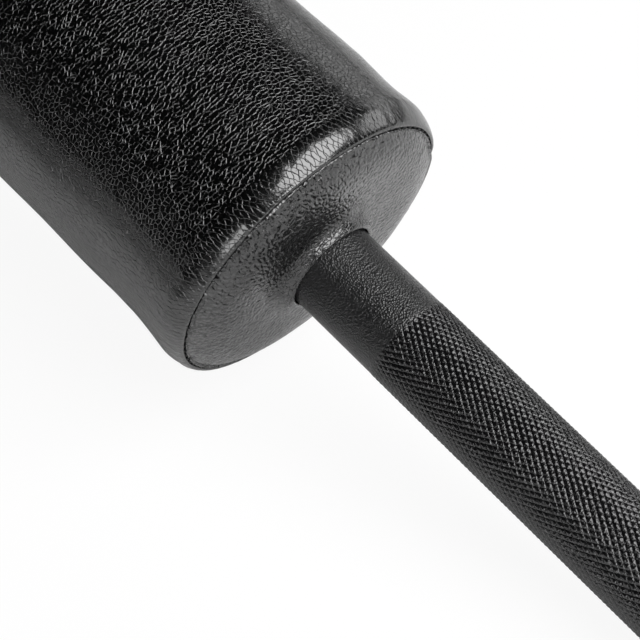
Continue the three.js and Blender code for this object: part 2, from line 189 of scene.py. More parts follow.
def bent_tube():
    run_step = camber_run * Vector((math.cos(bend_angle), 0, -math.sin(bend_angle)))
    second_start = Vector((straight_half + bend_radius * math.sin(bend_angle), 0, -half_turn)) + run_step
    second_centre = second_start + bend_radius * Vector((math.sin(bend_angle), 0, math.cos(bend_angle)))
    bpy.ops.mesh.primitive_circle_add(vertices=tube_sides, radius=tube_radius, rotation=(0, math.pi / 2, 0))
    tube = bpy.context.object
    bpy.ops.object.transform_apply(location=True, rotation=True, scale=True)
    bpy.ops.object.mode_set(mode="EDIT")
    bpy.ops.mesh.select_all(action="SELECT")
    bpy.ops.mesh.extrude_region_move(TRANSFORM_OT_translate={"value": (straight_half, 0, 0)})
    first_centre = (straight_half, 0, -bend_radius)
    bpy.ops.mesh.spin(steps=bend_steps, angle=-bend_angle, center=first_centre, axis=(0, 1, 0))
    bpy.ops.mesh.extrude_region_move(TRANSFORM_OT_translate={"value": run_step})
    bpy.ops.mesh.spin(steps=bend_steps, angle=bend_angle, center=second_centre, axis=(0, 1, 0))
    bpy.ops.mesh.extrude_region_move(TRANSFORM_OT_translate={"value": (tube_tail, 0, 0)})
    bpy.ops.object.mode_set(mode="OBJECT")
    applied(tube, "MIRROR", merge_threshold=merge_distance)
    bpy.ops.object.mode_set(mode="EDIT")
    bpy.ops.mesh.select_all(action="SELECT")
    bpy.ops.mesh.remove_doubles(threshold=merge_distance)
    bpy.ops.mesh.normals_make_consistent(inside=False)
    bpy.ops.object.mode_set(mode="OBJECT")
    applied(tube, "SOLIDIFY", thickness=tube_wall, offset=-1)
    bpy.ops.object.shade_smooth_by_angle(angle=smooth_angle)
    tube.name = "bent_main_tube"
    return tube


main_tube = bent_tube()
camber_tilt = Matrix.Rotation(-math.atan2(camber_reach, camber_drop), 4, "X")
finished(main_tube, bar_place @ camber_tilt, coat, "frame", "frame_coat", "main_tube")


# Horns: two straight tubes, coped and welded to the middle of the main tube. The bare end of each is the
# handle: 30 mm of plain coat, then rolled diamond knurling up to a short plain end.
horn_radius = 0.014
horn_wall = 0.004
horn_offset = 0.118
horn_weld_radius = 0.0045
drop_steps = 6
seam_plane = 0.2048
lip_front = 0.2123
handle_end = lip_front + 0.150
knurl_start = lip_front + 0.0297
knurl_end = handle_end - 0.0085
knurl_round = 46
knurl_pitch = 0.00302
knurl_depth = 0.00020
knurl_slope_width = 0.00029
knurl_crest_rise = 0.00015
knurl_crest_width = 0.00042
knurl_swell = 0.00015
knurl_run_in = 0.0022
rub_fade = 0.002
plain_middle = 0.1
handle_chamfer = 0.0005
cope_zone = 0.001
relief_smooth_angle = math.radians(50)
seat = 0.0003


def horn_place(direction):
    """Turns local Z into the horn's axis, out to the handle's end. Local Y then points up."""
    spot = Matrix.Translation((direction * horn_offset, 0, 0))
    return bar_place @ spot @ Matrix.Rotation(math.pi / 2, 4, "X")


def ringed(start, stations):
    """Extrudes the selected ring from one [radius, distance along Z] to the next. The last stays selected."""
    previous = start
    for radius, along in stations:
        bpy.ops.mesh.extrude_region_move(TRANSFORM_OT_translate={"value": (0, 0, along - previous[1])})
        share = radius / previous[0]
        if share != 1:
            bpy.ops.transform.resize(value=(share, share, 1), center_override=(0, 0, along))
        previous = (radius, along)


def closed_up():
    """In edit mode, merges doubles, turns all faces outwards and goes back to object mode."""
    bpy.ops.mesh.select_all(action="SELECT")
    bpy.ops.mesh.remove_doubles(threshold=merge_distance / 2)
    bpy.ops.mesh.normals_make_consistent(inside=False)
    bpy.ops.object.mode_set(mode="OBJECT")


def turned(name, stations, sides, closed=True):
    """A piece turned about Z. A closed profile returns to its start. An open one ends in two flat discs."""
    bpy.ops.mesh.primitive_circle_add(vertices=sides, radius=stations[0][0], location=(0, 0, stations[0][1]))
    piece = bpy.context.object
    piece.name = name
    bpy.ops.object.transform_apply(location=True, rotation=True, scale=True)
    bpy.ops.object.mode_set(mode="EDIT")
    bpy.ops.mesh.select_all(action="SELECT")
    if not closed:
        bpy.ops.mesh.edge_face_add()
        bpy.ops.mesh.select_mode(type="EDGE")
        bpy.ops.mesh.extrude_edges_move()
    ringed(stations[0], stations[1:] + stations[:1] if closed else stations[1:])
    if not closed:
        bpy.ops.mesh.edge_face_add()
    closed_up()
    return piece


def joined(first, *others):
    bpy.ops.object.select_all(action="DESELECT")
    for piece in (first, *others):
        piece.select_set(True)
    bpy.context.view_layer.objects.active = first
    bpy.ops.object.join()
    return first


def eased(share):
    """Goes smoothly from 0 to 1 as its share does."""
    share = min(1, max(0, share))
    return share * share * (3 - 2 * share)


def knurled_horn():
    rows = round((knurl_end - knurl_start) / knurl_pitch)
    groove_radius = horn_radius + knurl_swell - knurl_depth - knurl_crest_rise
    bpy.ops.mesh.primitive_grid_add(x_subdivisions=knurl_round, y_subdivisions=rows, size=2)
    horn = bpy.context.object
    for vertex in horn.data.vertices:
        around = (vertex.co.x + 1) * math.pi
        along = knurl_start + (vertex.co.y + 1) / 2 * (knurl_end - knurl_start)
        vertex.co = (groove_radius * math.cos(around), groove_radius * math.sin(around), along)
    bpy.ops.object.mode_set(mode="EDIT")
    bpy.ops.mesh.select_all(action="SELECT")
    bpy.ops.mesh.remove_doubles(threshold=2 * merge_distance)
    bpy.ops.object.mode_set(mode="OBJECT")
    grid_points = len(horn.data.vertices)

    # Each square of the grid is split from its middle, and the grid's own edges are dissolved, which leaves
    # diamonds. Each diamond is then inset and raised twice, by a steep flank and a flatter crest.
    bpy.ops.object.mode_set(mode="EDIT")
    bpy.ops.mesh.select_all(action="SELECT")
    bpy.ops.mesh.poke()
    bpy.ops.mesh.select_mode(type="EDGE")
    bpy.ops.mesh.select_all(action="DESELECT")
    bpy.ops.object.mode_set(mode="OBJECT")
    low_rim = knurl_start + knurl_pitch / 100
    high_rim = knurl_end - knurl_pitch / 100
    for vertex in horn.data.vertices:
        reach = groove_radius / math.hypot(vertex.co.x, vertex.co.y)
        vertex.co.x *= reach
        vertex.co.y *= reach
    for edge in horn.data.edges:
        heights = [horn.data.vertices[i].co.z for i in edge.vertices]
        edge.select = max(edge.vertices) < grid_points and max(heights) > low_rim and min(heights) < high_rim
    bpy.ops.object.mode_set(mode="EDIT")
    bpy.ops.mesh.dissolve_edges(use_verts=False)
    bpy.ops.mesh.select_mode(type="FACE")
    bpy.ops.mesh.select_all(action="SELECT")
    bpy.ops.mesh.inset(thickness=knurl_slope_width, depth=knurl_depth, use_individual=True)
    bpy.ops.object.mode_set(mode="OBJECT")
    for face in horn.data.polygons:
        face.select = face.select and len(face.vertices) > 3
    bpy.ops.object.mode_set(mode="EDIT")
    bpy.ops.mesh.inset(thickness=knurl_crest_width, depth=knurl_crest_rise, use_individual=True)
    bpy.ops.object.mode_set(mode="OBJECT")
    for vertex in horn.data.vertices:
        along = vertex.co.z
        run_in = eased((along - knurl_start) / knurl_run_in) * eased((knurl_end - along) / knurl_run_in)
        radius = math.hypot(vertex.co.x, vertex.co.y)
        reach = (horn_radius - (horn_radius - radius) * run_in) / radius
        vertex.co.x *= reach
        vertex.co.y *= reach

    # Plain ends, the bore, and the cope over the main tube
    bore_radius = horn_radius - horn_wall
    edges_selected(horn, lambda spot: spot.z < low_rim)
    plain_start = knurl_start - handle_chamfer
    ringed(
        (horn_radius, knurl_start),
        [(horn_radius, plain_start), (horn_radius, plain_middle), (horn_radius, 0), (bore_radius, 0)],
    )
    edges_selected(horn, lambda spot: spot.z > high_rim)
    ringed(
        (horn_radius, knurl_end),
        [
            (horn_radius, handle_end - handle_chamfer),
            (horn_radius - handle_chamfer, handle_end),
            (bore_radius, handle_end),
            (bore_radius, 0),
        ],
    )
    bpy.ops.object.mode_set(mode="OBJECT")
    for vertex in horn.data.vertices:
        if vertex.co.z < cope_zone:
            vertex.co.z += math.sqrt((tube_radius + seat) ** 2 - vertex.co.y ** 2)
    bpy.ops.object.mode_set(mode="EDIT")
    closed_up()
    rubbed = horn.data.attributes.new(name="rubbed", type="FLOAT", domain="POINT")
    for vertex in horn.data.vertices:
        along = vertex.co.z
        worn = eased((along - knurl_start) / rub_fade) * eased((knurl_end - along) / rub_fade)
        rubbed.data[vertex.index].value = worn
    bpy.ops.object.shade_smooth_by_angle(angle=relief_smooth_angle)
    return horn


def cope_weld():
    """The bead between a horn and the main tube, laid down in overlapping drops."""
    drops = 46
    drop_bow = 0.25
    drop_taper = 0.09
    root_share = 0.6
    bead_sides = 16
    bpy.ops.mesh.primitive_torus_add(
        major_segments=drop_steps * drops,
        minor_segments=bead_sides,
        major_radius=horn_radius,
        minor_radius=horn_weld_radius,
    )
    bead = bpy.context.object
    for vertex in bead.data.vertices:
        around = math.atan2(vertex.co.y, vertex.co.x)
        out = math.hypot(vertex.co.x, vertex.co.y) - horn_radius
        drop = (around / (2 * math.pi) * drops - drop_bow * (out / horn_weld_radius) ** 2) % 1
        size = 1 - drop_taper * drop
        out *= size if out > 0 else root_share
        radius = horn_radius + out
        rise = math.sqrt(tube_radius ** 2 - (horn_radius * math.sin(around)) ** 2)
        vertex.co = (radius * math.cos(around), radius * math.sin(around), rise + vertex.co.z * size)
    bpy.ops.object.shade_smooth()
    return bead


for side, direction in (("left", -1), ("right", 1)):
    horn = joined(knurled_horn(), cope_weld())
    horn.name = f"{side}_knurled_horn"
    finished(horn, horn_place(direction), coat, "frame", "frame_coat", f"{side}_horn")


# Handle plugs: moulded plastic caps pressed into the open ends of the handles, with a rounded edge and a
# shallow dish in the face.
def dull_material(name, colour, cloud, rough, grain, grain_height):
    """A plain material without metal. Its cloud and its grain are noises, each with a scale and a detail."""
    material, nodes, links, shader, place = material_of(name)
    shader.inputs["Base Color"].default_value = (*colour, 1)
    unevenness = noise_at(nodes, links, place, *cloud)
    links.new(ranged(nodes, links, unevenness, (0.3, 0.7), rough), shader.inputs["Roughness"])
    raised(nodes, links, shader, noise_at(nodes, links, place, *grain), grain_height)
    return material


plug_plastic = dull_material(
    "moulded_black_plastic",
    (0.014, 0.014, 0.014),
    cloud=(90.0, 3.0),
    rough=(0.45, 0.6),
    grain=(1800.0, 2.0),
    grain_height=0.00005,
)
plug_head = 0.004
plug_stem = 0.016
plug_round = 0.0016
plug_lead_in = 0.0012
plug_sides = 64
round_steps = 6
stem_radius = horn_radius - horn_wall - seat
dish_radius = 0.0088
dish_depth = 0.0005
for side, direction in (("left", -1), ("right", 1)):
    head = handle_end + seat
    face = head + plug_head
    profile = [
        (stem_radius - plug_lead_in, handle_end - plug_stem),
        (stem_radius, handle_end - plug_stem + plug_lead_in),
        (stem_radius, head),
        (horn_radius, head),
    ]
    for i in range(round_steps + 1):
        turn = math.radians(90 / round_steps * i)
        reach = horn_radius - plug_round * (1 - math.cos(turn))
        profile.append((reach, face - plug_round * (1 - math.sin(turn))))
    profile += [(dish_radius, face), (dish_radius - dish_depth, face - dish_depth)]
    plug = turned(f"{side}_end_plug", profile, plug_sides, closed=False)
    bpy.ops.object.shade_smooth_by_angle(angle=smooth_angle)
    finished(plug, horn_place(direction), plug_plastic, "frame", "plug_plastic", f"{side}_handle_plug")


# Spindles: turned steel journals with a shank that plugs into the tube's end and a flange that is butt
# welded to it. The weld goes round in overlapping drops.
journal_radius = 0.014
spindle_flange = 0.006
weld_crown = 0.0018
journal_chamfer = 0.0015
sleeve_radius = 0.025
loadable_length = 0.390
collar_radius = 0.038
collar_width = 0.025
washer_thickness = 0.0025
ring_thickness = 0.00175
ring_groove = 0.0012
flange_chamfer = 0.0004
root_width = 0.0006
root_height = 0.0002
journal_setback = 0.016
ring_setback = 0.004
spindle_sides = 96
turned_smooth_angle = math.radians(30)
flange_end = seat + spindle_flange
inner_washer_start = flange_end + seat
sleeve_start = inner_washer_start + washer_thickness + seat
collar_end = sleeve_start + collar_width
sleeve_end = collar_end + loadable_length
journal_end = sleeve_end - journal_setback
ring_outer = journal_end - ring_setback
ring_inner = ring_outer - ring_thickness


def end_place(direction):
    """Turns local Z into the sleeve's axis, outwards from the end of the main tube."""
    spot = Matrix.Translation((direction * tube_end, -camber_reach, -camber_drop))
    half_round = Matrix.Rotation(0 if direction > 0 else math.pi, 4, "Z")
    return bar_place @ spot @ half_round @ Matrix.Rotation(math.pi / 2, 4, "Y")


sleeve_axis = end_place(1).translation


def lathed_metal(name, colour, smoothest, roughest, line_height):
    """Metal with fine lines round the sleeve's axis, as a lathe or grinding wheel leaves them."""
    material, nodes, links, shader, place = material_of(name)
    shader.inputs["Base Color"].default_value = (*colour, 1)
    shader.inputs["Metallic"].default_value = 1.0
    centred = nodes.new("ShaderNodeVectorMath")
    centred.operation = "SUBTRACT"
    centred.inputs[1].default_value = (0, sleeve_axis.y, sleeve_axis.z)
    links.new(place, centred.inputs[0])
    parts = nodes.new("ShaderNodeSeparateXYZ")
    links.new(centred.outputs["Vector"], parts.inputs["Vector"])
    flat = nodes.new("ShaderNodeCombineXYZ")
    links.new(parts.outputs["Y"], flat.inputs["Y"])
    links.new(parts.outputs["Z"], flat.inputs["Z"])
    reach = nodes.new("ShaderNodeVectorMath")
    reach.operation = "LENGTH"
    links.new(flat.outputs["Vector"], reach.inputs[0])
    station = nodes.new("ShaderNodeCombineXYZ")
    links.new(parts.outputs["X"], station.inputs["X"])
    links.new(reach.outputs["Value"], station.inputs["Y"])
    rings = noise_at(nodes, links, station.outputs["Vector"], scale=4200.0, detail=2.0, roughness=0.7)
    cloud = noise_at(nodes, links, place, scale=45.0, detail=4.0, roughness=0.6)
    uneven = combined(nodes, links, combined(nodes, links, rings, "MULTIPLY", 0.5), "ADD", cloud)
    rough = ranged(nodes, links, uneven, (0.5, 1.0), (smoothest, roughest))
    links.new(rough, shader.inputs["Roughness"])
    raised(nodes, links, shader, rings, line_height)
    return material


def butt_weld(name):
    drops = 52
    drop_bow = 0.55
    drop_taper = 0.26
    crown_steps = 8
    middle = 0.0021
    half_width = 0.0030
    root_radius = tube_radius - 0.0012
    profile = []
    for i in range(crown_steps + 1):
        across = -1 + 2 * i / crown_steps
        profile.append((tube_radius + weld_crown * (1 - across ** 2), middle + half_width * across))
    profile += [(root_radius, middle + half_width), (root_radius, middle - half_width)]
    bead = turned(name, profile, drop_steps * drops)
    for vertex in bead.data.vertices:
        spot = vertex.co
        across = (spot.z - middle) / half_width
        around = math.atan2(spot.y, spot.x)
        crown = max(0, math.hypot(spot.x, spot.y) - tube_radius)
        drop = (around / (2 * math.pi) * drops + drop_bow * across ** 2) % 1
        share = 1 - drop_taper * drop * crown / math.hypot(spot.x, spot.y)
        spot.x *= share
        spot.y *= share
    bpy.ops.object.shade_smooth_by_angle(angle=relief_smooth_angle)
    return bead


steel = lathed_metal("turned_steel", (0.42, 0.42, 0.43), smoothest=0.24, roughest=0.42, line_height=0.000012)
shank_radius = tube_radius - tube_wall - seat
for side, direction in (("left", -1), ("right", 1)):
    spindle = turned(
        f"{side}_turned_spindle",
        [
            (shank_radius - journal_chamfer, seat - tube_tail),
            (shank_radius, seat - tube_tail + journal_chamfer),
            (shank_radius, seat),
            (tube_radius, seat),
            (tube_radius, flange_end - flange_chamfer),
            (tube_radius - flange_chamfer, flange_end),
            (journal_radius + root_width, flange_end),
            (journal_radius, flange_end + root_height),
            (journal_radius, ring_inner - seat / 2),
            (journal_radius - ring_groove, ring_inner - seat / 2),
            (journal_radius - ring_groove, ring_outer + seat / 2),
            (journal_radius, ring_outer + seat / 2),
            (journal_radius, journal_end - journal_chamfer),
            (journal_radius - journal_chamfer, journal_end),
        ],
        spindle_sides,
        closed=False,
    )
    bpy.ops.object.shade_smooth_by_angle(angle=turned_smooth_angle)
    finished(spindle, end_place(direction), steel, "frame", "turned_steel", f"{side}_spindle")
    weld = butt_weld(f"{side}_spindle_weld")
    finished(weld, end_place(direction), coat, "frame", "frame_coat")


# Bearings: each sleeve turns on two oiled bronze bushings, pressed into its bore against shoulders, behind a
# rubber lip seal. Bronze washers take the thrust, and a ring in the journal's groove keeps the sleeve on.
bronze = lathed_metal("oiled_bronze", (0.50, 0.30, 0.13), smoothest=0.28, roughest=0.46, line_height=0.000010)
spring_steel = lathed_metal(
    "phosphated_spring_steel", (0.055, 0.055, 0.06), smoothest=0.38, roughest=0.55, line_height=0.000004
)
rubber = dull_material(
    "black_seal_rubber",
    (0.016, 0.016, 0.016),
    cloud=(160.0, 4.0),
    rough=(0.6, 0.85),
    grain=(2400.0, 2.0),
    grain_height=0.00004,
)
bushing_wall = 0.004
bushing_length = 0.038
bushing_chamfer = 0.0005
washer_chamfer = 0.0003
bearing_sides = 80
seal_width = 0.004
cap_wall = 0.0037
bushing_bore = journal_radius + seat
bushing_radius = bushing_bore + bushing_wall
bearing_seat = bushing_radius + seat
seal_start = sleeve_start + seat
inner_bushing_start = seal_start + seal_width + seat
inner_seat_end = inner_bushing_start + bushing_length + seat
outer_washer_start = ring_inner - seat - washer_thickness
outer_bushing_end = outer_washer_start - seat
outer_bushing_start = outer_bushing_end - bushing_length
cap_seat_radius = sleeve_radius - cap_wall
ring_width = 0.0036
ring_lug = 0.0026
ring_gap_half = math.radians(14)
ring_lug_angle = math.radians(16)
ring_hole_radius = 0.001
ring_sides = 120
lug_sides = 40
hole_sides = 24


def plain_ring(name, inner, outer, start, length, chamfer):
    ring = turned(
        name,
        [
            (inner, start + chamfer),
            (inner, start + length - chamfer),
            (inner + chamfer, start + length),
            (outer - chamfer, start + length),
            (outer, start + length - chamfer),
            (outer, start + chamfer),
            (outer - chamfer, start),
            (inner + chamfer, start),
        ],
        bearing_sides,
    )
    bpy.ops.object.shade_smooth_by_angle(angle=turned_smooth_angle)
    return ring


def lip_seal(name):
    """The seal's outer wall, its thin web, and the lip that bears on the journal."""
    rise = seal_width / 4
    wall, wall_foot = 0.0014, 0.0018
    lip_root, lip_back, lip_waist, lip_face = 0.0010, 0.0007, 0.0005, 0.0011
    seal_ring = turned(
        name,
        [
            (bushing_radius, seal_start),
            (bushing_radius, seal_start + seal_width),
            (bushing_radius - wall, seal_start + seal_width),
            (bushing_radius - wall_foot, seal_start + rise),
            (bushing_bore + lip_root, seal_start + rise),
            (bushing_bore + lip_back, seal_start + 3.4 * rise),
            (bushing_bore, seal_start + 3 * rise),
            (bushing_bore + lip_waist, seal_start + rise),
            (bushing_bore + lip_face, seal_start),
        ],
        bearing_sides,
    )
    bpy.ops.object.shade_smooth_by_angle(angle=turned_smooth_angle)
    return seal_ring


def cut_with(piece, tool, operation):
    """Cuts or joins one solid with another, which is used up. The first one is left selected."""
    bpy.ops.object.select_all(action="DESELECT")
    piece.select_set(True)
    bpy.context.view_layer.objects.active = piece
    applied(piece, "BOOLEAN", operation=operation, object=tool, solver="EXACT")
    bpy.data.objects.remove(tool, do_unlink=True)


def retaining_ring(name, plain_radius, outwards, start):
    """A C-shaped ring with a drilled lug on each side of its gap. It is plain on the side of its groove."""
    rim = plain_radius + outwards * ring_width
    lug_size = (ring_width + ring_lug) / 2
    hole_reach = plain_radius + outwards * lug_size
    end = start + ring_thickness
    middle = (start + end) / 2
    ring = turned(name, [(plain_radius, start), (rim, start), (rim, end), (plain_radius, end)], ring_sides)
    bpy.ops.mesh.primitive_cube_add(size=1, location=(hole_reach, 0, middle))
    gap = bpy.context.object
    gap.scale = (3 * lug_size, 2 * hole_reach * math.sin(ring_gap_half), 3 * ring_thickness)
    cut_with(ring, gap, "DIFFERENCE")
    for turn in (-1, 1):
        angle = turn * (ring_gap_half + ring_lug_angle / 2)
        spot = (hole_reach * math.cos(angle), hole_reach * math.sin(angle), middle)
        for sides, radius, depth, operation in (
            (lug_sides, lug_size, ring_thickness, "UNION"),
            (hole_sides, ring_hole_radius, 3 * ring_thickness, "DIFFERENCE"),
        ):
            bpy.ops.mesh.primitive_cylinder_add(vertices=sides, radius=radius, depth=depth, location=spot)
            cut_with(ring, bpy.context.object, operation)
    bpy.ops.object.shade_smooth_by_angle(angle=turned_smooth_angle)
    return ring


for side, direction in (("left", -1), ("right", 1)):
    place = end_place(direction)
    turning = f"{side}_turning_sleeve"
    washer_radius = cap_seat_radius - seat
    for level, start in (("inner", inner_washer_start), ("outer", outer_washer_start)):
        name = f"{side}_{level}_thrust_ring"
        washer = plain_ring(name, bushing_bore, washer_radius, start, washer_thickness, washer_chamfer)
        finished(washer, place, bronze, "frame", "bearing_bronze", f"{side}_{level}_washer")
    for level, start in (("inner", inner_bushing_start), ("outer", outer_bushing_start)):
        name = f"{side}_{level}_bronze_bushing"
        bushing = plain_ring(name, bushing_bore, bushing_radius, start, bushing_length, bushing_chamfer)
        finished(bushing, place, bronze, turning, "bearing_bronze", f"{side}_{level}_bushing")
    finished(lip_seal(f"{side}_lip_seal"), place, rubber, turning, "seal_rubber", f"{side}_seal")
    ring = retaining_ring(f"{side}_spindle_ring", journal_radius - ring_groove + seat, 1, ring_inner)
    finished(ring, place, spring_steel, "frame", "spring_steel", f"{side}_journal_ring")


# Sleeves: chromed steel tubes that carry the plates, each with a stop collar pressed on its inner end and a
# steel cap behind a retaining ring in its outer end.
chrome = lathed_metal("hard_chrome", (0.68, 0.69, 0.70), smoothest=0.09, roughest=0.14, line_height=0.000006)
sleeve_chamfer = 0.0016
sleeve_relief = 0.003
collar_chamfer = 0.002
cap_thickness = 0.006
cap_chamfer = 0.0008
cap_dish_radius = 0.01176
cap_dish_depth = 0.001
cap_ring_setback = 0.0015
edge_break = 0.0003
edge_ease = 0.0002
sleeve_sides = 128
collar_sides = 160
collar_round_steps = 5
cap_sides = 96
cap_smooth_angle = math.radians(25)
cap_ring_end = sleeve_end - cap_ring_setback
cap_ring_start = cap_ring_end - ring_thickness
cap_end = cap_ring_start - seat


def chromed_sleeve(name):
    middle_bore = journal_radius + sleeve_relief
    groove = cap_seat_radius + ring_groove
    outer_seat_start = outer_bushing_start - seat
    tube = turned(
        name,
        [
            (bearing_seat, sleeve_start),
            (sleeve_radius - edge_break, sleeve_start),
            (sleeve_radius, sleeve_start + edge_break),
            (sleeve_radius, collar_end),
            (sleeve_radius, sleeve_end - sleeve_chamfer - edge_break),
            (sleeve_radius - edge_ease, sleeve_end - sleeve_chamfer),
            (sleeve_radius - sleeve_chamfer, sleeve_end - edge_ease),
            (sleeve_radius - sleeve_chamfer - edge_break, sleeve_end),
            (cap_seat_radius + edge_break, sleeve_end),
            (cap_seat_radius, sleeve_end - edge_break),
            (cap_seat_radius, cap_ring_end + seat / 2),
            (groove, cap_ring_end + seat / 2),
            (groove, cap_ring_start - seat / 2),
            (cap_seat_radius, cap_ring_start - seat / 2),
            (cap_seat_radius, outer_bushing_end),
            (bearing_seat, outer_bushing_end),
            (bearing_seat, outer_seat_start),
            (middle_bore, outer_seat_start),
            (middle_bore, inner_seat_end),
            (bearing_seat, inner_seat_end),
        ],
        sleeve_sides,
    )
    bpy.ops.object.shade_smooth_by_angle(angle=turned_smooth_angle)
    return tube


def stop_collar(name):
    inner = sleeve_radius + seat
    profile = [(inner, sleeve_start)]
    for start, along in ((-math.pi / 2, sleeve_start + collar_chamfer), (0, collar_end - collar_chamfer)):
        for i in range(collar_round_steps + 1):
            turn = start + i / collar_round_steps * math.pi / 2
            reach = collar_radius - collar_chamfer * (1 - math.cos(turn))
            profile.append((reach, along + collar_chamfer * math.sin(turn)))
    profile.append((inner, collar_end))
    collar = turned(name, profile, collar_sides)
    bpy.ops.object.shade_smooth_by_angle(angle=turned_smooth_angle)
    return collar


def dished_cap(name):
    radius = cap_seat_radius - seat
    cap = turned(
        name,
        [
            (radius, cap_end - cap_thickness),
            (radius, cap_end - cap_chamfer),
            (radius - edge_ease, cap_end - edge_ease),
            (radius - cap_chamfer, cap_end),
            (cap_dish_radius + edge_break, cap_end),
            (cap_dish_radius, cap_end - edge_ease / 2),
            (cap_dish_radius - cap_dish_depth, cap_end - cap_dish_depth),
            (cap_dish_radius / 2, cap_end - cap_dish_depth),
        ],
        cap_sides,
        closed=False,
    )
    bpy.ops.object.shade_smooth_by_angle(angle=cap_smooth_angle)
    return cap


for side, direction in (("left", -1), ("right", 1)):
    place = end_place(direction)
    turning = f"{side}_turning_sleeve"
    sleeve = chromed_sleeve(f"{side}_plate_sleeve")
    finished(sleeve, place, chrome, turning, "sleeve_chrome", f"{side}_sleeve")
    collar = stop_collar(f"{side}_plate_stop")
    finished(collar, place, chrome, turning, "sleeve_chrome", f"{side}_stop_collar")
    cap = dished_cap(f"{side}_dished_cap")
    finished(cap, place, steel, turning, "turned_steel", f"{side}_end_cap")
    ring = retaining_ring(f"{side}_sleeve_ring", cap_seat_radius + ring_groove - seat, -1, cap_ring_start)
    finished(ring, place, spring_steel, turning, "spring_steel", f"{side}_cap_ring")


# Shoulder pads: a foam core in a sewn cover of black synthetic leather. A wrap goes round the core and is
# sewn to a round end panel, whose middle is turned out into a lip that hugs the handle.
def crease_height(nodes, links, sheet, across, along, crease):
    """The height of cells with creases between them, whose half width is a share of a cell."""
    scaled = nodes.new("ShaderNodeVectorMath")
    scaled.operation = "MULTIPLY"
    scaled.inputs[1].default_value = (across, along, 0)
    links.new(sheet, scaled.inputs[0])
    voronoi = nodes.new("ShaderNodeTexVoronoi")
    voronoi.voronoi_dimensions = "2D"
    voronoi.feature = "DISTANCE_TO_EDGE"
    voronoi.inputs["Scale"].default_value = 1.0
    links.new(scaled.outputs["Vector"], voronoi.inputs["Vector"])
    height = combined(nodes, links, voronoi.outputs["Distance"], "DIVIDE", crease)
    return combined(nodes, links, height, "MINIMUM", 1.0)


def pleat_height(nodes, links, sheet, lines, slant, width, sway):
    """The height between swaying lines that cross a seam on a slant. Lines and slant are counts per metre."""
    parts = nodes.new("ShaderNodeSeparateXYZ")
    links.new(sheet, parts.inputs["Vector"])
    across = combined(nodes, links, parts.outputs["X"], "MULTIPLY", lines)
    along = combined(nodes, links, parts.outputs["Y"], "MULTIPLY", slant)
    swayed = combined(nodes, links, combined(nodes, links, across, "ADD", along), "ADD", sway)
    away = combined(nodes, links, swayed, "PINGPONG", 0.5)
    return combined(nodes, links, combined(nodes, links, away, "DIVIDE", width), "MINIMUM", 1.0)


def mixed(nodes, links, share, first, second):
    mix = nodes.new("ShaderNodeMix")
    links.new(share, mix.inputs["Factor"])
    links.new(first, mix.inputs["A"])
    links.new(second, mix.inputs["B"])
    return mix.outputs["Result"]


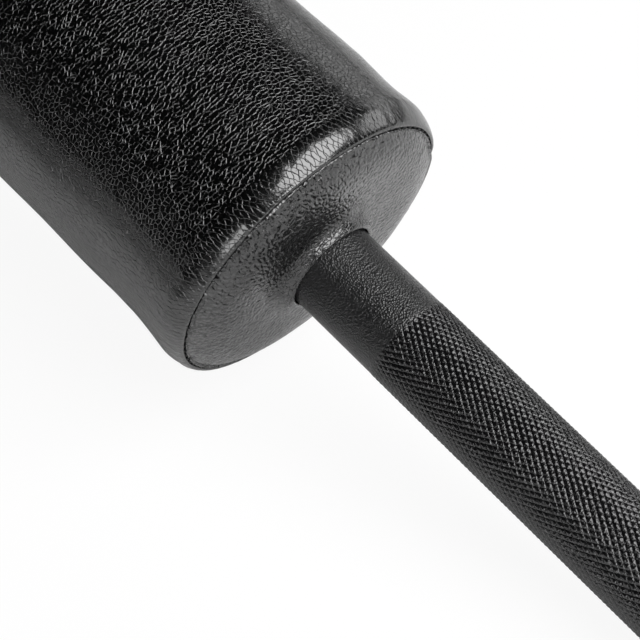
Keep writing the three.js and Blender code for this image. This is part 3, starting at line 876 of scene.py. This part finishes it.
def black_leather(name, across, along, crease, relief, pleated):
    """Pebbled grain on the sheet before it was sewn. Where the sheet is pulled, other lines take its place:
    slanting pleats beside a wrap's seam, and larger cells beside a panel's lip."""
    wander_reach = 0.0009
    pore_share = 0.03
    uneven_share = 0.9
    relief_height = 0.000122
    material, nodes, links, shader, place = material_of(name)
    coordinates = nodes.new("ShaderNodeTexCoord")
    pulled = nodes.new("ShaderNodeAttribute")
    pulled.attribute_name = "pull"
    pull = pulled.outputs["Fac"]
    wander = nodes.new("ShaderNodeTexNoise")
    wander.inputs["Scale"].default_value = 420.0
    wander.inputs["Detail"].default_value = 2.0
    links.new(coordinates.outputs["UV"], wander.inputs["Vector"])
    bent = nodes.new("ShaderNodeVectorMath")
    bent.operation = "MULTIPLY_ADD"
    bent.inputs[1].default_value = (wander_reach, wander_reach, 0)
    links.new(wander.outputs["Color"], bent.inputs[0])
    links.new(coordinates.outputs["UV"], bent.inputs[2])
    sheet = bent.outputs["Vector"]
    plain = crease_height(nodes, links, sheet, across, along, crease)
    if pleated:
        sway = noise_at(nodes, links, coordinates.outputs["UV"], scale=260.0, detail=1.0)
        leaning = []
        for count, slant, width, sway_share in ((600.0, 240.0, 0.08, 1.3), (560.0, -200.0, 0.07, -1.5)):
            swayed = combined(nodes, links, sway, "MULTIPLY", sway_share)
            leaning.append(pleat_height(nodes, links, sheet, count, slant, width, swayed))
        other = combined(nodes, links, leaning[0], "MINIMUM", leaning[1])
    else:
        other = crease_height(nodes, links, sheet, across=700.0, along=800.0, crease=0.16)
    plates = mixed(nodes, links, pull, plain, other)
    depth = noise_at(nodes, links, place, scale=600.0, detail=1.0)
    depth = ranged(nodes, links, depth, (0.3, 0.7), (0.35, 1.3))
    kept = combined(nodes, links, combined(nodes, links, pull, "MULTIPLY", 1 - relief), "ADD", relief)
    depth = combined(nodes, links, depth, "MULTIPLY", kept)
    patches = noise_at(nodes, links, place, scale=700.0, detail=1.0)
    patches = ranged(nodes, links, patches, (0.4, 0.6), (0.0, 0.12))
    unpulled = combined(nodes, links, 1.0, "SUBTRACT", pull)
    patches = combined(nodes, links, patches, "MULTIPLY", unpulled)
    lines = crease_height(nodes, links, sheet, across=2000.0, along=2400.0, crease=0.22)
    pores = noise_at(nodes, links, place, scale=3600.0, detail=2.0)
    pores = combined(nodes, links, pores, "MULTIPLY", pore_share)
    unevenness = noise_at(nodes, links, place, scale=450.0, detail=2.0)
    unevenness = combined(nodes, links, unevenness, "MULTIPLY", uneven_share)
    height = combined(nodes, links, pores, "ADD", unevenness)
    for pattern, share in ((plates, depth), (lines, patches)):
        sunk = combined(nodes, links, combined(nodes, links, pattern, "SUBTRACT", 1.0), "MULTIPLY", share)
        height = combined(nodes, links, height, "ADD", sunk)
    shader.inputs["Base Color"].default_value = (0.001, 0.001, 0.0011, 1)
    shader.inputs["Specular IOR Level"].default_value = 0.9
    links.new(ranged(nodes, links, plates, (0.0, 1.0), (0.21, 0.18)), shader.inputs["Roughness"])
    raised(nodes, links, shader, height, relief_height)
    return material


leather = black_leather(
    "black_leather_wrap", across=620.0, along=800.0, crease=0.115, relief=1.0, pleated=True
)
panel_leather = black_leather(
    "black_leather_panel", across=680.0, along=430.0, crease=0.50, relief=2.4, pleated=False
)
leather_thickness = 0.0014
pad_radius = 0.0495
pad_sides = 360
panel_grain_turn = math.radians(33)

# Outside of a wrap near its seam: [radius, distance behind the seam]
rim_outline = [
    (0.04710, 0.00220),
    (0.04710, 0.00060),
    (0.04722, 0.00018),
    (0.04750, 0.00000),
    (0.04800, 0.00010),
    (0.04832, 0.00035),
    (0.04865, 0.00090),
    (0.04910, 0.00180),
    (0.04945, 0.00280),
    (0.04980, 0.00400),
    (0.05013, 0.00550),
    (0.05030, 0.00700),
    (0.05033, 0.00790),
    (0.05027, 0.00920),
    (0.05010, 0.01120),
    (0.04990, 0.01320),
    (0.04972, 0.01600),
    (0.04961, 0.01900),
    (0.04958, 0.02300),
    (0.04958, 0.03000),
]
rim_crest = 0.0079
rim_crest_radius = 0.05033
rim_inside = [(0.04810, 0.0300), (0.04810, 0.0120), (0.04800, 0.0060), (0.04760, 0.0038), (0.04730, 0.0028)]

# How far a hand-sewn seam strays from a true circle round the handle: sideways, and along the pad
seam_shift = 0.00102
seam_shift_turn = math.radians(223)
seam_tilt = 0.00148
seam_tilt_turn = math.radians(25)

# Where a shoulder pad's panel laps over its seam, on the pad's outer side, how far it reaches out, and how
# far the wrap's edge gives way under it
overlap_turn = math.radians(-17)
overlap_half_angle = math.radians(42)
overlap_fade = math.radians(12)
overlap_reach = 0.0011
overlap_drop = 0.0007

# Outside of an end panel: [distance out from the pipe's surface, distance in front of the seam], from the
# lip's hem to the fillet. The crown between the fillet and the seam is worked out.
lip_outline = [
    (0.00030, 0.0060),
    (0.00034, 0.0072),
    (0.00070, 0.0078),
    (0.00120, 0.0079),
    (0.00175, 0.0076),
    (0.00215, 0.0069),
    (0.00255, 0.0061),
    (0.00320, 0.0054),
    (0.00420, 0.0048),
    (0.00560, 0.0043),
    (0.00760, 0.0040),
]
panel_edge_radius = 0.0467
panel_roll = [(0.0001, 0.00002), (0.00028, 0.00020), (0.0005, 0.00028), (0.00068, 0.00016)]
panel_roll_width = 0.0008
panel_turn_in = [(0, -0.0002), (0, -0.0010), (-0.0004, -0.0022)]
panel_crown = 0.0040
panel_roundness = 4.5
hem_depth = 0.006
leather_smooth_angle = math.radians(60)

# Outside of a wrap: its rings, and how its waves, its gathers and the seam's pull run out behind the seam
wrap_spacing = 0.004
outside_from = 0.0479
wave_fade = 0.03
gather_middle = 0.004
gather_width = 0.005
gather_height = 0.00016
pull_reach = 0.0105
pull_fade = 0.004
random.seed(7)


def waves_of(count, low, high, most_round, most_along):
    """Random waves round and along a pad: [amount, waves round, waves per metre, phase]."""
    waves = []
    for i in range(count):
        amount = random.uniform(low, high)
        phase = random.uniform(0, 2 * math.pi)
        waves.append((amount, random.randint(1, most_round), random.uniform(-most_along, most_along), phase))
    return waves


def ripple(around, along, waves):
    return sum(a * math.sin(n * around + k * along + f) for a, n, k, f in waves)


def pleats_of():
    """Random short pleats across a seam: [angle, half width, amount]."""
    pleats = []
    for i in range(110):
        angle = random.uniform(-math.pi, math.pi)
        pleats.append((angle, random.uniform(0.012, 0.03), random.uniform(-1, 1)))
    return pleats


def turn_between(first, second):
    """The angle from the second direction to the first, at most half a turn either way."""
    return (first - second + math.pi) % (2 * math.pi) - math.pi


def bell(value, middle, width):
    return math.exp(-(((value - middle) / width) ** 2))


def pleat_map(pleats):
    """The depth of the pleats at each quarter of a degree round a seam, worked out only once."""
    steps = 1440
    depths = []
    for i in range(steps):
        around = -math.pi + 2 * math.pi * i / steps
        depth = 0
        for angle, width, amount in pleats:
            depth += amount * bell(turn_between(around, angle), 0, width)
        depths.append(depth)
    return depths


def pleat_at(depths, around):
    return depths[int((around + math.pi) / (2 * math.pi) * len(depths)) % len(depths)]


def laid_out(piece, sheet_point, pull_at=None):
    """Stores each face corner's place on the uncut sheet, and how far each point is pulled towards a seam."""
    mesh = piece.data
    if pull_at:
        pull = mesh.attributes.new(name="pull", type="FLOAT", domain="POINT")
        for vertex in mesh.vertices:
            pull.data[vertex.index].value = pull_at(vertex.co)
    while mesh.uv_layers:
        mesh.uv_layers.remove(mesh.uv_layers[0])
    sheet = mesh.uv_layers.new(name="grain")
    for face in mesh.polygons:
        for loop in face.loop_indices:
            spot = mesh.vertices[mesh.loops[loop].vertex_index].co
            sheet.data[loop].uv = sheet_point(spot, face.center)


def around_near(spot, centre, seam_angle):
    """A point's angle from the middle of a wrap's sheet, on the same side of the join as its face."""
    middle = math.atan2(centre.y, centre.x) - seam_angle
    middle %= 2 * math.pi
    away = math.atan2(spot.y, spot.x) - seam_angle - middle
    return middle + (away + math.pi) % (2 * math.pi) - math.pi


def wrap_sheet(seam_angle, front):
    def sheet_point(spot, centre):
        around = around_near(spot, centre, seam_angle)
        radius = math.hypot(spot.x, spot.y)
        along = abs(spot.z)
        if along > front - rim_crest:
            along += rim_crest_radius - radius
        return (around * pad_radius, math.copysign(along, spot.z))

    return sheet_point


def panel_sheet(spot, centre):
    radius = math.hypot(spot.x, spot.y)
    reach = (radius - max(0, spot.z - 0.0042)) / radius
    turn = math.atan2(spot.y, spot.x) - panel_grain_turn
    return (radius * reach * math.cos(turn), radius * reach * math.sin(turn))


def strayed_by(spot, side_turn, around, shift_share, tilt_share):
    """Moves a point as a hand-sewn seam strays. The left side mirrors the right one."""
    tilt_turn = seam_tilt_turn if side_turn > 0 else math.pi - seam_tilt_turn
    spot.x += side_turn * seam_shift * math.cos(seam_shift_turn) * shift_share
    spot.y += seam_shift * math.sin(seam_shift_turn) * shift_share
    spot.z += seam_tilt * math.cos(around - tilt_turn) * tilt_share


def strayed(spot, behind, side_turn, around):
    """Moves a point of a shoulder pad's wrap or thread with its seam. Half of the shift runs out close behind
    the seam, and half further back."""
    near_end, near_fade = 0.008, 0.009
    far_end, far_fade = 0.032, 0.02
    tilt_fade = 0.06
    share = 0.5 * eased((far_end - behind) / far_fade) + 0.5 * eased((near_end - behind) / near_fade)
    strayed_by(spot, side_turn, around, share, eased((tilt_fade - behind) / tilt_fade))


def overlap_at(around, side_turn):
    """The share of a panel's overlap over the seam. It is on the pad's outer side only."""
    middle = overlap_turn if side_turn > 0 else math.pi - overlap_turn
    return eased((overlap_half_angle - abs(turn_between(around, middle))) / overlap_fade)


def gathered(pleats, around, behind):
    """How far the pleats lift the leather a little behind the seam."""
    return gather_height * pleat_at(pleats, around) * bell(behind, gather_middle, gather_width)


def lifted(spot, lift):
    """Moves a point of a wrap's outside away from the axis. Points of its inside stay."""
    radius = math.hypot(spot.x, spot.y)
    if radius > outside_from:
        share = 1 + lift / radius
        spot.x *= share
        spot.y *= share


def wrap_pull(front):
    """The share by which a wrap is pulled, by how near a point is to a seam."""
    return lambda spot: eased((pull_reach - front + abs(spot.z)) / pull_fade)


def shoulder_wrap(name, direction, waves, pleats):
    join_angle = -math.pi / 2
    join_depth, join_width, join_fade = 0.0010, 0.0011, 0.01
    tuck_depth, tuck_width = 0.0009, 0.0016
    cope_fade = 0.02
    drop_start, drop_fade = 0.0045, 0.0035
    start = seam_plane - rim_outline[-1][1]
    count = round(start / wrap_spacing)
    outer = [(radius, seam_plane - behind) for radius, behind in rim_outline]
    outer += [(pad_radius, start - start * i / count) for i in range(1, count + 1)]
    inner_radius = rim_inside[0][0]
    inner = [(inner_radius, 0), (inner_radius, 0.4 * start)]
    inner += [(radius, seam_plane - behind) for radius, behind in rim_inside]
    wrap = turned(name, outer + inner, pad_sides)
    for vertex in wrap.data.vertices:
        spot = vertex.co
        around = math.atan2(spot.y, spot.x)
        cope = math.sqrt(max(0, (pad_radius + seat) ** 2 - spot.y ** 2))
        if spot.z < start:
            spot.z = cope + (start - cope) * spot.z / start
        behind = seam_plane - spot.z
        lift = ripple(around, spot.z, waves) * eased(behind / wave_fade) * eased((spot.z - cope) / cope_fade)
        lift -= tuck_depth * bell(spot.z, cope, tuck_width)
        lift += gathered(pleats, around, behind)
        off_join = turn_between(around, join_angle)
        lift -= join_depth * bell(off_join * pad_radius, 0, join_width) * eased(behind / join_fade)
        lifted(spot, lift)
        strayed(spot, behind, direction, around)
        spot.z -= overlap_drop * overlap_at(around, direction) * eased((drop_start - behind) / drop_fade)
    laid_out(wrap, wrap_sheet(join_angle, seam_plane), wrap_pull(seam_plane))
    bpy.ops.object.shade_smooth_by_angle(angle=leather_smooth_angle)
    return wrap


def end_panel(name, direction, pipe_radius, folds, pleats):
    """A panel round a pipe. The direction is 0 for the neck pad, whose seams run true."""
    crown_steps, crown_spread, crown_swell = 14, 0.8, 0.0003
    inside_skip, inside_setback = 4, 0.0006
    outside_height = 0.0002
    lip_middle, lip_width, lip_share, lip_fade, fold_height = 0.10, 0.10, 0.02, 0.05, 0.00035
    edge_middle, edge_width, edge_fade = 0.90, 0.10, 0.08
    roll_width, roll_height, roll_margin = 0.0003, 0.00040, 0.0002
    swell_height = 0.00008
    overlap_rest, stretch_start, stretch_width = 0.0001, 0.8, 0.2
    pull_most, pull_out, pull_width = 0.6, 0.006, 0.003
    fillet_width, fillet_front = lip_outline[-1]
    root = pipe_radius + fillet_width
    crown_radius = panel_edge_radius - panel_roll_width
    crown = []
    for i in range(1, crown_steps + 1):
        share = (i / crown_steps) ** crown_spread
        height = panel_crown * (1 - share ** panel_roundness) + crown_swell * math.sin(math.pi * share)
        crown.append((root + (crown_radius - root) * share, height))
    lip = [(pipe_radius + out, front) for out, front in lip_outline]
    roll = [(crown_radius + out, front) for out, front in panel_roll]
    turned_in = [(panel_edge_radius + out, front) for out, front in panel_turn_in]
    hem = pipe_radius + seat
    under_crown = reversed(crown[:-inside_skip])
    inside = [
        *((radius - inside_setback, front - leather_thickness) for radius, front in under_crown),
        (root, fillet_front - leather_thickness),
        (hem + leather_thickness, fillet_front - 2 * leather_thickness),
        (hem + leather_thickness, -hem_depth),
        (hem, -hem_depth),
    ]
    panel = turned(name, lip + crown + roll + turned_in + inside, pad_sides)
    reach = panel_edge_radius - pipe_radius
    for vertex in panel.data.vertices:
        spot = vertex.co
        radius = math.hypot(spot.x, spot.y)
        around = math.atan2(spot.y, spot.x)
        share = (radius - pipe_radius) / reach
        if spot.z > outside_height:
            gather = bell(share, lip_middle, lip_width)
            edge = bell(share, edge_middle, edge_width)
            rolled = bell(radius - crown_radius, panel_roll_width / 2, roll_width)
            wave = ripple(around, 0, folds)
            spot.z += fold_height * gather * wave * min(1, max(0, share - lip_share) / lip_fade)
            spot.z += gather_height * edge * pleat_at(pleats, around) * eased((1 - share) / edge_fade)
            spot.z += roll_height * rolled * pleat_at(pleats, -around)
            swell = swell_height * math.sin(math.pi * min(1, max(0, share))) * math.sin(2 * around + 1)
            spot.z += swell * wave
        if direction and spot.z > -overlap_rest:
            overlap = overlap_at(around, direction)
            if radius > crown_radius - roll_margin:
                spot.z += (overlap_rest - spot.z) * overlap
            stretch = 1 + overlap_reach / radius * overlap * eased((share - stretch_start) / stretch_width)
            spot.x *= stretch
            spot.y *= stretch
        if direction and share > 0:
            strayed_by(spot, direction, around, share ** 2, share ** 2)

    def pull_at(spot):
        return pull_most * eased((pipe_radius + pull_out - math.hypot(spot.x, spot.y)) / pull_width)

    laid_out(panel, panel_sheet, pull_at)
    bpy.ops.object.shade_smooth_by_angle(angle=leather_smooth_angle)
    return panel


def stitch(size, spot, turn):
    """One stitch: a long bead of thread, turned about Z."""
    bpy.ops.mesh.primitive_uv_sphere_add(segments=6, ring_count=5, radius=1, location=spot)
    bead = bpy.context.object
    bead.scale = size
    bead.rotation_euler = (0, 0, turn)
    bpy.ops.object.transform_apply(location=True, rotation=True, scale=True)
    return bead


def seam_thread(name, direction):
    """The lockstitches that hold a wrap and its panel together, seen in the gap between them."""
    count = 84
    seam_radius, seam_depth = 0.04690, 0.0005
    thread = stitch((0.00034, 0.00105, 0.00030), (seam_radius, 0, -seam_depth), math.radians(24))
    thread.name = name
    bpy.ops.object.mode_set(mode="EDIT")
    bpy.ops.mesh.select_all(action="SELECT")
    bpy.ops.mesh.spin(steps=count, angle=2 * math.pi, center=(0, 0, 0), axis=(0, 0, 1), dupli=True)
    closed_up()
    if direction:
        for vertex in thread.data.vertices:
            strayed(vertex.co, 0, direction, math.atan2(vertex.co.y, vertex.co.x))
    bpy.ops.object.shade_smooth()
    return thread


thread_black = dull_material(
    "black_polyester_thread",
    (0.010, 0.010, 0.011),
    cloud=(2500.0, 2.0),
    rough=(0.42, 0.6),
    grain=(2500.0, 2.0),
    grain_height=0.00012,
)
foam_grey = dull_material(
    "closed_cell_foam",
    (0.09, 0.09, 0.095),
    cloud=(1300.0, 3.0),
    rough=(0.8, 0.95),
    grain=(1300.0, 3.0),
    grain_height=0.0003,
)
foam_sides = 96
foam_smooth_angle = math.radians(40)
foam_setback = 0.0006
foam_radius = pad_radius - leather_thickness - seat
foam_front = seam_plane - foam_setback
hem_bore = horn_radius + seat + leather_thickness + seat

# Outside of a foam core near its front: [radius, distance behind the front]
foam_round = [(0.0445, 0.0036), (0.0466, 0.008), (foam_radius, 0.030)]
shoulder_foam_front = [(0.036, 0), (0.042, 0.0012), *foam_round]
for side, direction in (("left", -1), ("right", 1)):
    place = horn_place(direction)
    seam_place = place @ Matrix.Translation((0, 0, seam_plane))
    core = turned(
        f"{side}_foam_core",
        [
            (horn_radius + seat, 0),
            (horn_radius + seat, seam_plane - hem_depth - seat),
            (hem_bore, seam_plane - hem_depth - seat),
            (hem_bore, foam_front),
            *((radius, foam_front - behind) for radius, behind in shoulder_foam_front),
            (foam_radius, 0),
        ],
        foam_sides,
    )
    for vertex in core.data.vertices:
        if vertex.co.z < cope_zone:
            vertex.co.z += math.sqrt((pad_radius + seat) ** 2 - vertex.co.y ** 2)
    bpy.ops.object.shade_smooth_by_angle(angle=foam_smooth_angle)
    finished(core, place, foam_grey, "frame", "pad_foam", f"{side}_pad_foam")
    pleats = pleat_map(pleats_of())
    waves = waves_of(8, low=0.00005, high=0.00013, most_round=6, most_along=160)
    wrap = shoulder_wrap(f"{side}_shoulder_wrap", direction, waves, pleats)
    finished(wrap, place, leather, "frame", "pad_leather", f"{side}_pad_wrap")
    folds = waves_of(8, low=0.2, high=0.5, most_round=13, most_along=0)
    panel = end_panel(f"{side}_shoulder_end_panel", direction, horn_radius, folds, pleats)
    finished(panel, seam_place, panel_leather, "frame", "pad_leather", f"{side}_pad_panel")
    thread = seam_thread(f"{side}_shoulder_seam_thread", direction)
    finished(thread, seam_place, thread_black, "frame", "pad_leather")


# Neck pad: a longer pad of the same make along the main tube, behind the lifter's neck. Its foam is slit so
# that it opens over the tube, and its cover closes underneath with a hook-and-loop flap.
neck_half = 0.190
neck_sides = 288
closure_turn = math.radians(24)
closure_inset = 0.024
hook_tape = 0.0012
hook_half_angle = math.radians(13)
flap_half_angle = math.radians(19)
horn_hole_sides = 64
horn_hole_depth = 0.08
slit_depth = 0.08
slit_width = 0.002
neck_place = bar_place @ Matrix.Rotation(math.pi / 2, 4, "Y")


def horn_hole(direction, radius, depth):
    """A cutter that runs from the tube's axis out along a horn, in the neck pad's own frame."""
    bpy.ops.mesh.primitive_cylinder_add(
        vertices=horn_hole_sides,
        radius=radius,
        depth=depth,
        location=(0, -depth / 2, direction * horn_offset),
        rotation=(math.pi / 2, 0, 0),
    )
    return bpy.context.object


def mirrored(outline):
    """The same outline at the other end of the pad."""
    return [(radius, -along) for radius, along in reversed(outline)]


def neck_wrap(name, waves, pleats):
    straight = neck_half - rim_outline[-1][1]
    count = round(2 * straight / wrap_spacing)
    front = [(radius, neck_half - behind) for radius, behind in rim_outline]
    middle = [(pad_radius, straight - 2 * straight * i / count) for i in range(1, count)]
    inner = [(radius, neck_half - behind) for radius, behind in rim_inside]
    wrap = turned(name, front + middle + mirrored(front) + mirrored(inner) + inner, neck_sides)
    for vertex in wrap.data.vertices:
        spot = vertex.co
        around = math.atan2(spot.y, spot.x)
        behind = neck_half - abs(spot.z)
        lift = ripple(around, spot.z, waves) * eased(behind / wave_fade)
        lift += gathered(pleats, around + 2 * spot.z, behind)
        lifted(spot, lift)
    for direction in (-1, 1):
        cut_with(wrap, horn_hole(direction, horn_radius + seat, horn_hole_depth), "DIFFERENCE")
    laid_out(wrap, wrap_sheet(closure_turn, neck_half), wrap_pull(neck_half))
    bpy.ops.object.shade_smooth_by_angle(angle=leather_smooth_angle)
    return wrap


def neck_core(name):
    end = neck_half - foam_setback
    bore = tube_radius + seat
    hem = bore + leather_thickness + seat
    half = [
        (bore, neck_half - hem_depth - seat),
        (hem, neck_half - hem_depth - seat),
        (hem, end),
        *((radius, end - behind) for radius, behind in [(0.040, 0.0008), *foam_round]),
    ]
    core = turned(name, half + mirrored(half), foam_sides)
    bead_room = horn_radius + horn_weld_radius + seat
    for direction in (-1, 1):
        cut_with(core, horn_hole(direction, horn_radius + seat, horn_hole_depth), "DIFFERENCE")
        cut_with(core, horn_hole(direction, bead_room, tube_radius + horn_weld_radius + seat), "DIFFERENCE")
    bpy.ops.mesh.primitive_cube_add(size=1, location=(slit_depth / 2, 0, 0))
    slit = bpy.context.object
    slit.scale = (slit_depth, slit_width, 3 * neck_half)
    bpy.ops.object.transform_apply(location=True, rotation=True, scale=True)
    slit.data.transform(Matrix.Rotation(closure_turn, 4, "Z"))
    cut_with(core, slit, "DIFFERENCE")
    bpy.ops.object.shade_smooth_by_angle(angle=foam_smooth_angle)
    return core


def curved_strip(name, inner_radius, thickness, half_angle, corner):
    """A strip with rounded corners along the neck pad's underside, bent to its round."""
    corner_steps = 6
    cuts = 24
    edge_limit = math.radians(50)
    width = 2 * half_angle * inner_radius
    length = 2 * (neck_half - closure_inset)
    bpy.ops.mesh.primitive_plane_add(size=1)
    strip = bpy.context.object
    strip.name = name
    strip.scale = (width, length, 1)
    bpy.ops.object.transform_apply(location=True, rotation=True, scale=True)
    bpy.ops.object.mode_set(mode="EDIT")
    bpy.ops.mesh.select_all(action="SELECT")
    bpy.ops.mesh.bevel(offset=corner, segments=corner_steps, affect="VERTICES")
    for i in range(1, cuts):
        bpy.ops.mesh.select_all(action="SELECT")
        bpy.ops.mesh.bisect(plane_co=(width * (i / cuts - 0.5), 0, 0), plane_no=(1, 0, 0))
    for i in range(1, 2 * cuts):
        bpy.ops.mesh.select_all(action="SELECT")
        bpy.ops.mesh.bisect(plane_co=(0, length * (i / (2 * cuts) - 0.5), 0), plane_no=(0, 1, 0))
    bpy.ops.object.mode_set(mode="OBJECT")
    applied(strip, "SOLIDIFY", thickness=thickness, offset=1)
    applied(strip, "BEVEL", width=thickness / 4, segments=2, limit_method="ANGLE", angle_limit=edge_limit)
    laid_out(strip, lambda spot, centre: (spot.y, spot.x))
    for vertex in strip.data.vertices:
        angle = vertex.co.x / inner_radius + closure_turn
        radius = inner_radius + vertex.co.z
        vertex.co = (radius * math.cos(angle), radius * math.sin(angle), vertex.co.y)
    bpy.ops.object.mode_set(mode="EDIT")
    closed_up()
    bpy.ops.object.shade_smooth_by_angle(angle=foam_smooth_angle)
    return strip


def flap_stitches(name, radius):
    """Two rows of stitches along the flap's long edges."""
    pitch = 0.0042
    end_margin = 0.016
    edge_margin = 0.0035
    size = (0.0003, 0.0004, 0.0016)
    length = 2 * (neck_half - closure_inset) - end_margin
    count = round(length / pitch)
    rows = []
    for turn in (-1, 1):
        angle = closure_turn + turn * (flap_half_angle - edge_margin / radius)
        row = stitch(size, (radius * math.cos(angle), radius * math.sin(angle), -length / 2), angle)
        applied(
            row,
            "ARRAY",
            count=count,
            use_relative_offset=False,
            use_constant_offset=True,
            constant_offset_displace=(0, 0, pitch),
        )
        bpy.ops.object.shade_smooth()
        rows.append(row)
    stitches = joined(*rows)
    stitches.name = name
    return stitches


def hook_nylon():
    material, nodes, links, shader, place = material_of("black_hook_nylon")
    shader.inputs["Base Color"].default_value = (0.012, 0.012, 0.012, 1)
    hooks = nodes.new("ShaderNodeTexVoronoi")
    hooks.inputs["Scale"].default_value = 900.0
    links.new(place, hooks.inputs["Vector"])
    tips = ranged(nodes, links, hooks.outputs["Distance"], (0.1, 0.6), (1.0, 0.0))
    links.new(ranged(nodes, links, tips, (0.0, 1.0), (0.85, 0.5)), shader.inputs["Roughness"])
    raised(nodes, links, shader, tips, distance=0.0005)
    return material


pleats = pleat_map(pleats_of())
waves = waves_of(9, low=0.00005, high=0.00013, most_round=6, most_along=140)
wrap = neck_wrap("neck_wrap", waves, pleats)
finished(wrap, neck_place, leather, "frame", "pad_leather", "neck_pad_wrap")
core = neck_core("neck_foam_core")
finished(core, neck_place, foam_grey, "frame", "pad_foam", "neck_pad_foam")
tape_radius = pad_radius + seat
flap_radius = tape_radius + hook_tape + seat
tape = curved_strip("neck_hook_strip", tape_radius, hook_tape, hook_half_angle, corner=0.001)
finished(tape, neck_place, hook_nylon(), "frame", "hook_nylon", "neck_pad_hook_tape")
flap = curved_strip("neck_closing_flap", flap_radius, leather_thickness, flap_half_angle, corner=0.008)
finished(flap, neck_place, leather, "frame", "pad_leather", "neck_pad_flap")
stitches = flap_stitches("neck_flap_stitches", flap_radius + leather_thickness)
finished(stitches, neck_place, thread_black, "frame", "pad_leather")
for side, turn in (("left", -1), ("right", 1)):
    spot = Matrix.Translation((turn * neck_half, 0, 0))
    place = bar_place @ spot @ Matrix.Rotation(turn * math.pi / 2, 4, "Y")
    folds = waves_of(8, low=0.2, high=0.5, most_round=13, most_along=0)
    panel = end_panel(f"neck_{side}_end_panel", 0, tube_radius, folds, pleat_map(pleats_of()))
    finished(panel, place, panel_leather, "frame", "pad_leather", f"neck_pad_{side}_panel")
    thread = seam_thread(f"neck_{side}_seam_thread", 0)
    finished(thread, place, thread_black, "frame", "pad_leather")


# Floor and light: a plain pale floor under soft studio lamps. The camera looks down at the right handle
# from the front left, as in the photograph.
def pale_floor():
    material = bpy.data.materials.new("pale_floor")
    material.use_nodes = True
    nodes = material.node_tree.nodes
    links = material.node_tree.links
    nodes.clear()
    output = nodes.new("ShaderNodeOutputMaterial")
    diffuse = nodes.new("ShaderNodeBsdfDiffuse")
    diffuse.inputs["Color"].default_value = (0.9, 0.9, 0.9, 1)
    white = nodes.new("ShaderNodeEmission")
    white.inputs["Strength"].default_value = 1.0
    path = nodes.new("ShaderNodeLightPath")
    place = nodes.new("ShaderNodeTexCoord")
    away = nodes.new("ShaderNodeVectorMath")
    away.operation = "LENGTH"
    links.new(place.outputs["Object"], away.inputs[0])
    whiteness = ranged(nodes, links, away.outputs["Value"], (1.8, 5.0), (0.92, 1.0))
    mix = nodes.new("ShaderNodeMixShader")
    seen_white = combined(nodes, links, path.outputs["Is Camera Ray"], "MULTIPLY", whiteness)
    links.new(seen_white, mix.inputs["Fac"])
    links.new(diffuse.outputs["BSDF"], mix.inputs[1])
    links.new(white.outputs["Emission"], mix.inputs[2])
    links.new(mix.outputs["Shader"], output.inputs["Surface"])
    return material


bpy.ops.mesh.primitive_plane_add(size=60, location=(0, 0, 0))
floor = bpy.context.object
floor.name = "floor"
floor.data.materials.append(pale_floor())

world = bpy.data.worlds.new("studio")
bpy.context.scene.world = world
world.use_nodes = True
world_nodes = world.node_tree.nodes
world_links = world.node_tree.links
sky = world_nodes["Background"]
ray = world_nodes.new("ShaderNodeLightPath")
heading = world_nodes.new("ShaderNodeTexCoord")
height = world_nodes.new("ShaderNodeSeparateXYZ")
world_links.new(heading.outputs["Generated"], height.inputs["Vector"])
studio = ranged(world_nodes, world_links, height.outputs["Z"], (0.05, 0.42), (0.11, 0.0))
strength = combined(world_nodes, world_links, studio, "MAXIMUM", ray.outputs["Is Camera Ray"])
world_links.new(strength, sky.inputs["Strength"])
sky.inputs["Color"].default_value = (1, 1, 1, 1)
lamp_target = (0.118, -0.05, 0.06)


def softbox(name, heading, distance, width, height, radiance):
    """An oval lamp in a direction from the right handle, whose surface has the given brightness."""
    spot = Vector(lamp_target) + distance * Vector(heading).normalized()
    bpy.ops.object.light_add(type="AREA", location=spot)
    lamp = bpy.context.object
    lamp.name = name
    lamp.data.shape = "ELLIPSE"
    lamp.data.size = width
    lamp.data.size_y = height
    lamp.data.energy = radiance * math.pi * width * height * math.pi / 4
    lamp.rotation_euler = (Vector(lamp_target) - spot).to_track_quat("-Z", "Y").to_euler()


softbox("key", (0.11, -0.58, 0.76), 1.6, 1.8, 1.0, 7.4)
softbox("side", (0.86, -0.30, 0.40), 2.0, 1.0, 0.9, 2.6)
softbox("front", (0.02, -0.90, 0.40), 1.7, 1.2, 0.6, 7.5)
softbox("left", (-0.82, -0.52, 0.18), 2.0, 0.8, 0.7, 4.8)
softbox("right_fill", (0.90, 0.18, 0.30), 2.4, 1.6, 1.1, 1.1)
softbox("back_fill", (0.25, 0.90, 0.45), 2.6, 1.8, 1.0, 2.0)

picture_size = 640
focal_pixels = 1560
sensor_width = 36
aim_past_seam = 0.00477
aim_right = 0.00146
aim_up = 0.0171
aim_depth = 0.447
azimuth = math.radians(-46.25)
elevation = math.radians(42.85)
aim = horn_place(1) @ Vector((0, 0, seam_plane + aim_past_seam))
right = Vector((math.cos(azimuth), math.sin(azimuth), 0))
forward = Vector(
    (-math.sin(azimuth) * math.cos(elevation), math.cos(azimuth) * math.cos(elevation), -math.sin(elevation))
)
up = right.cross(forward)
bpy.ops.object.camera_add(location=aim - aim_right * right - aim_up * up - aim_depth * forward)
camera = bpy.context.object
camera.rotation_euler = (math.pi / 2 - elevation, 0, azimuth)
camera.data.sensor_width = sensor_width
camera.data.lens = focal_pixels / picture_size * sensor_width
camera.data.clip_start = 0.01
bpy.context.scene.camera = camera
bpy.context.scene.view_settings.view_transform = "Standard"
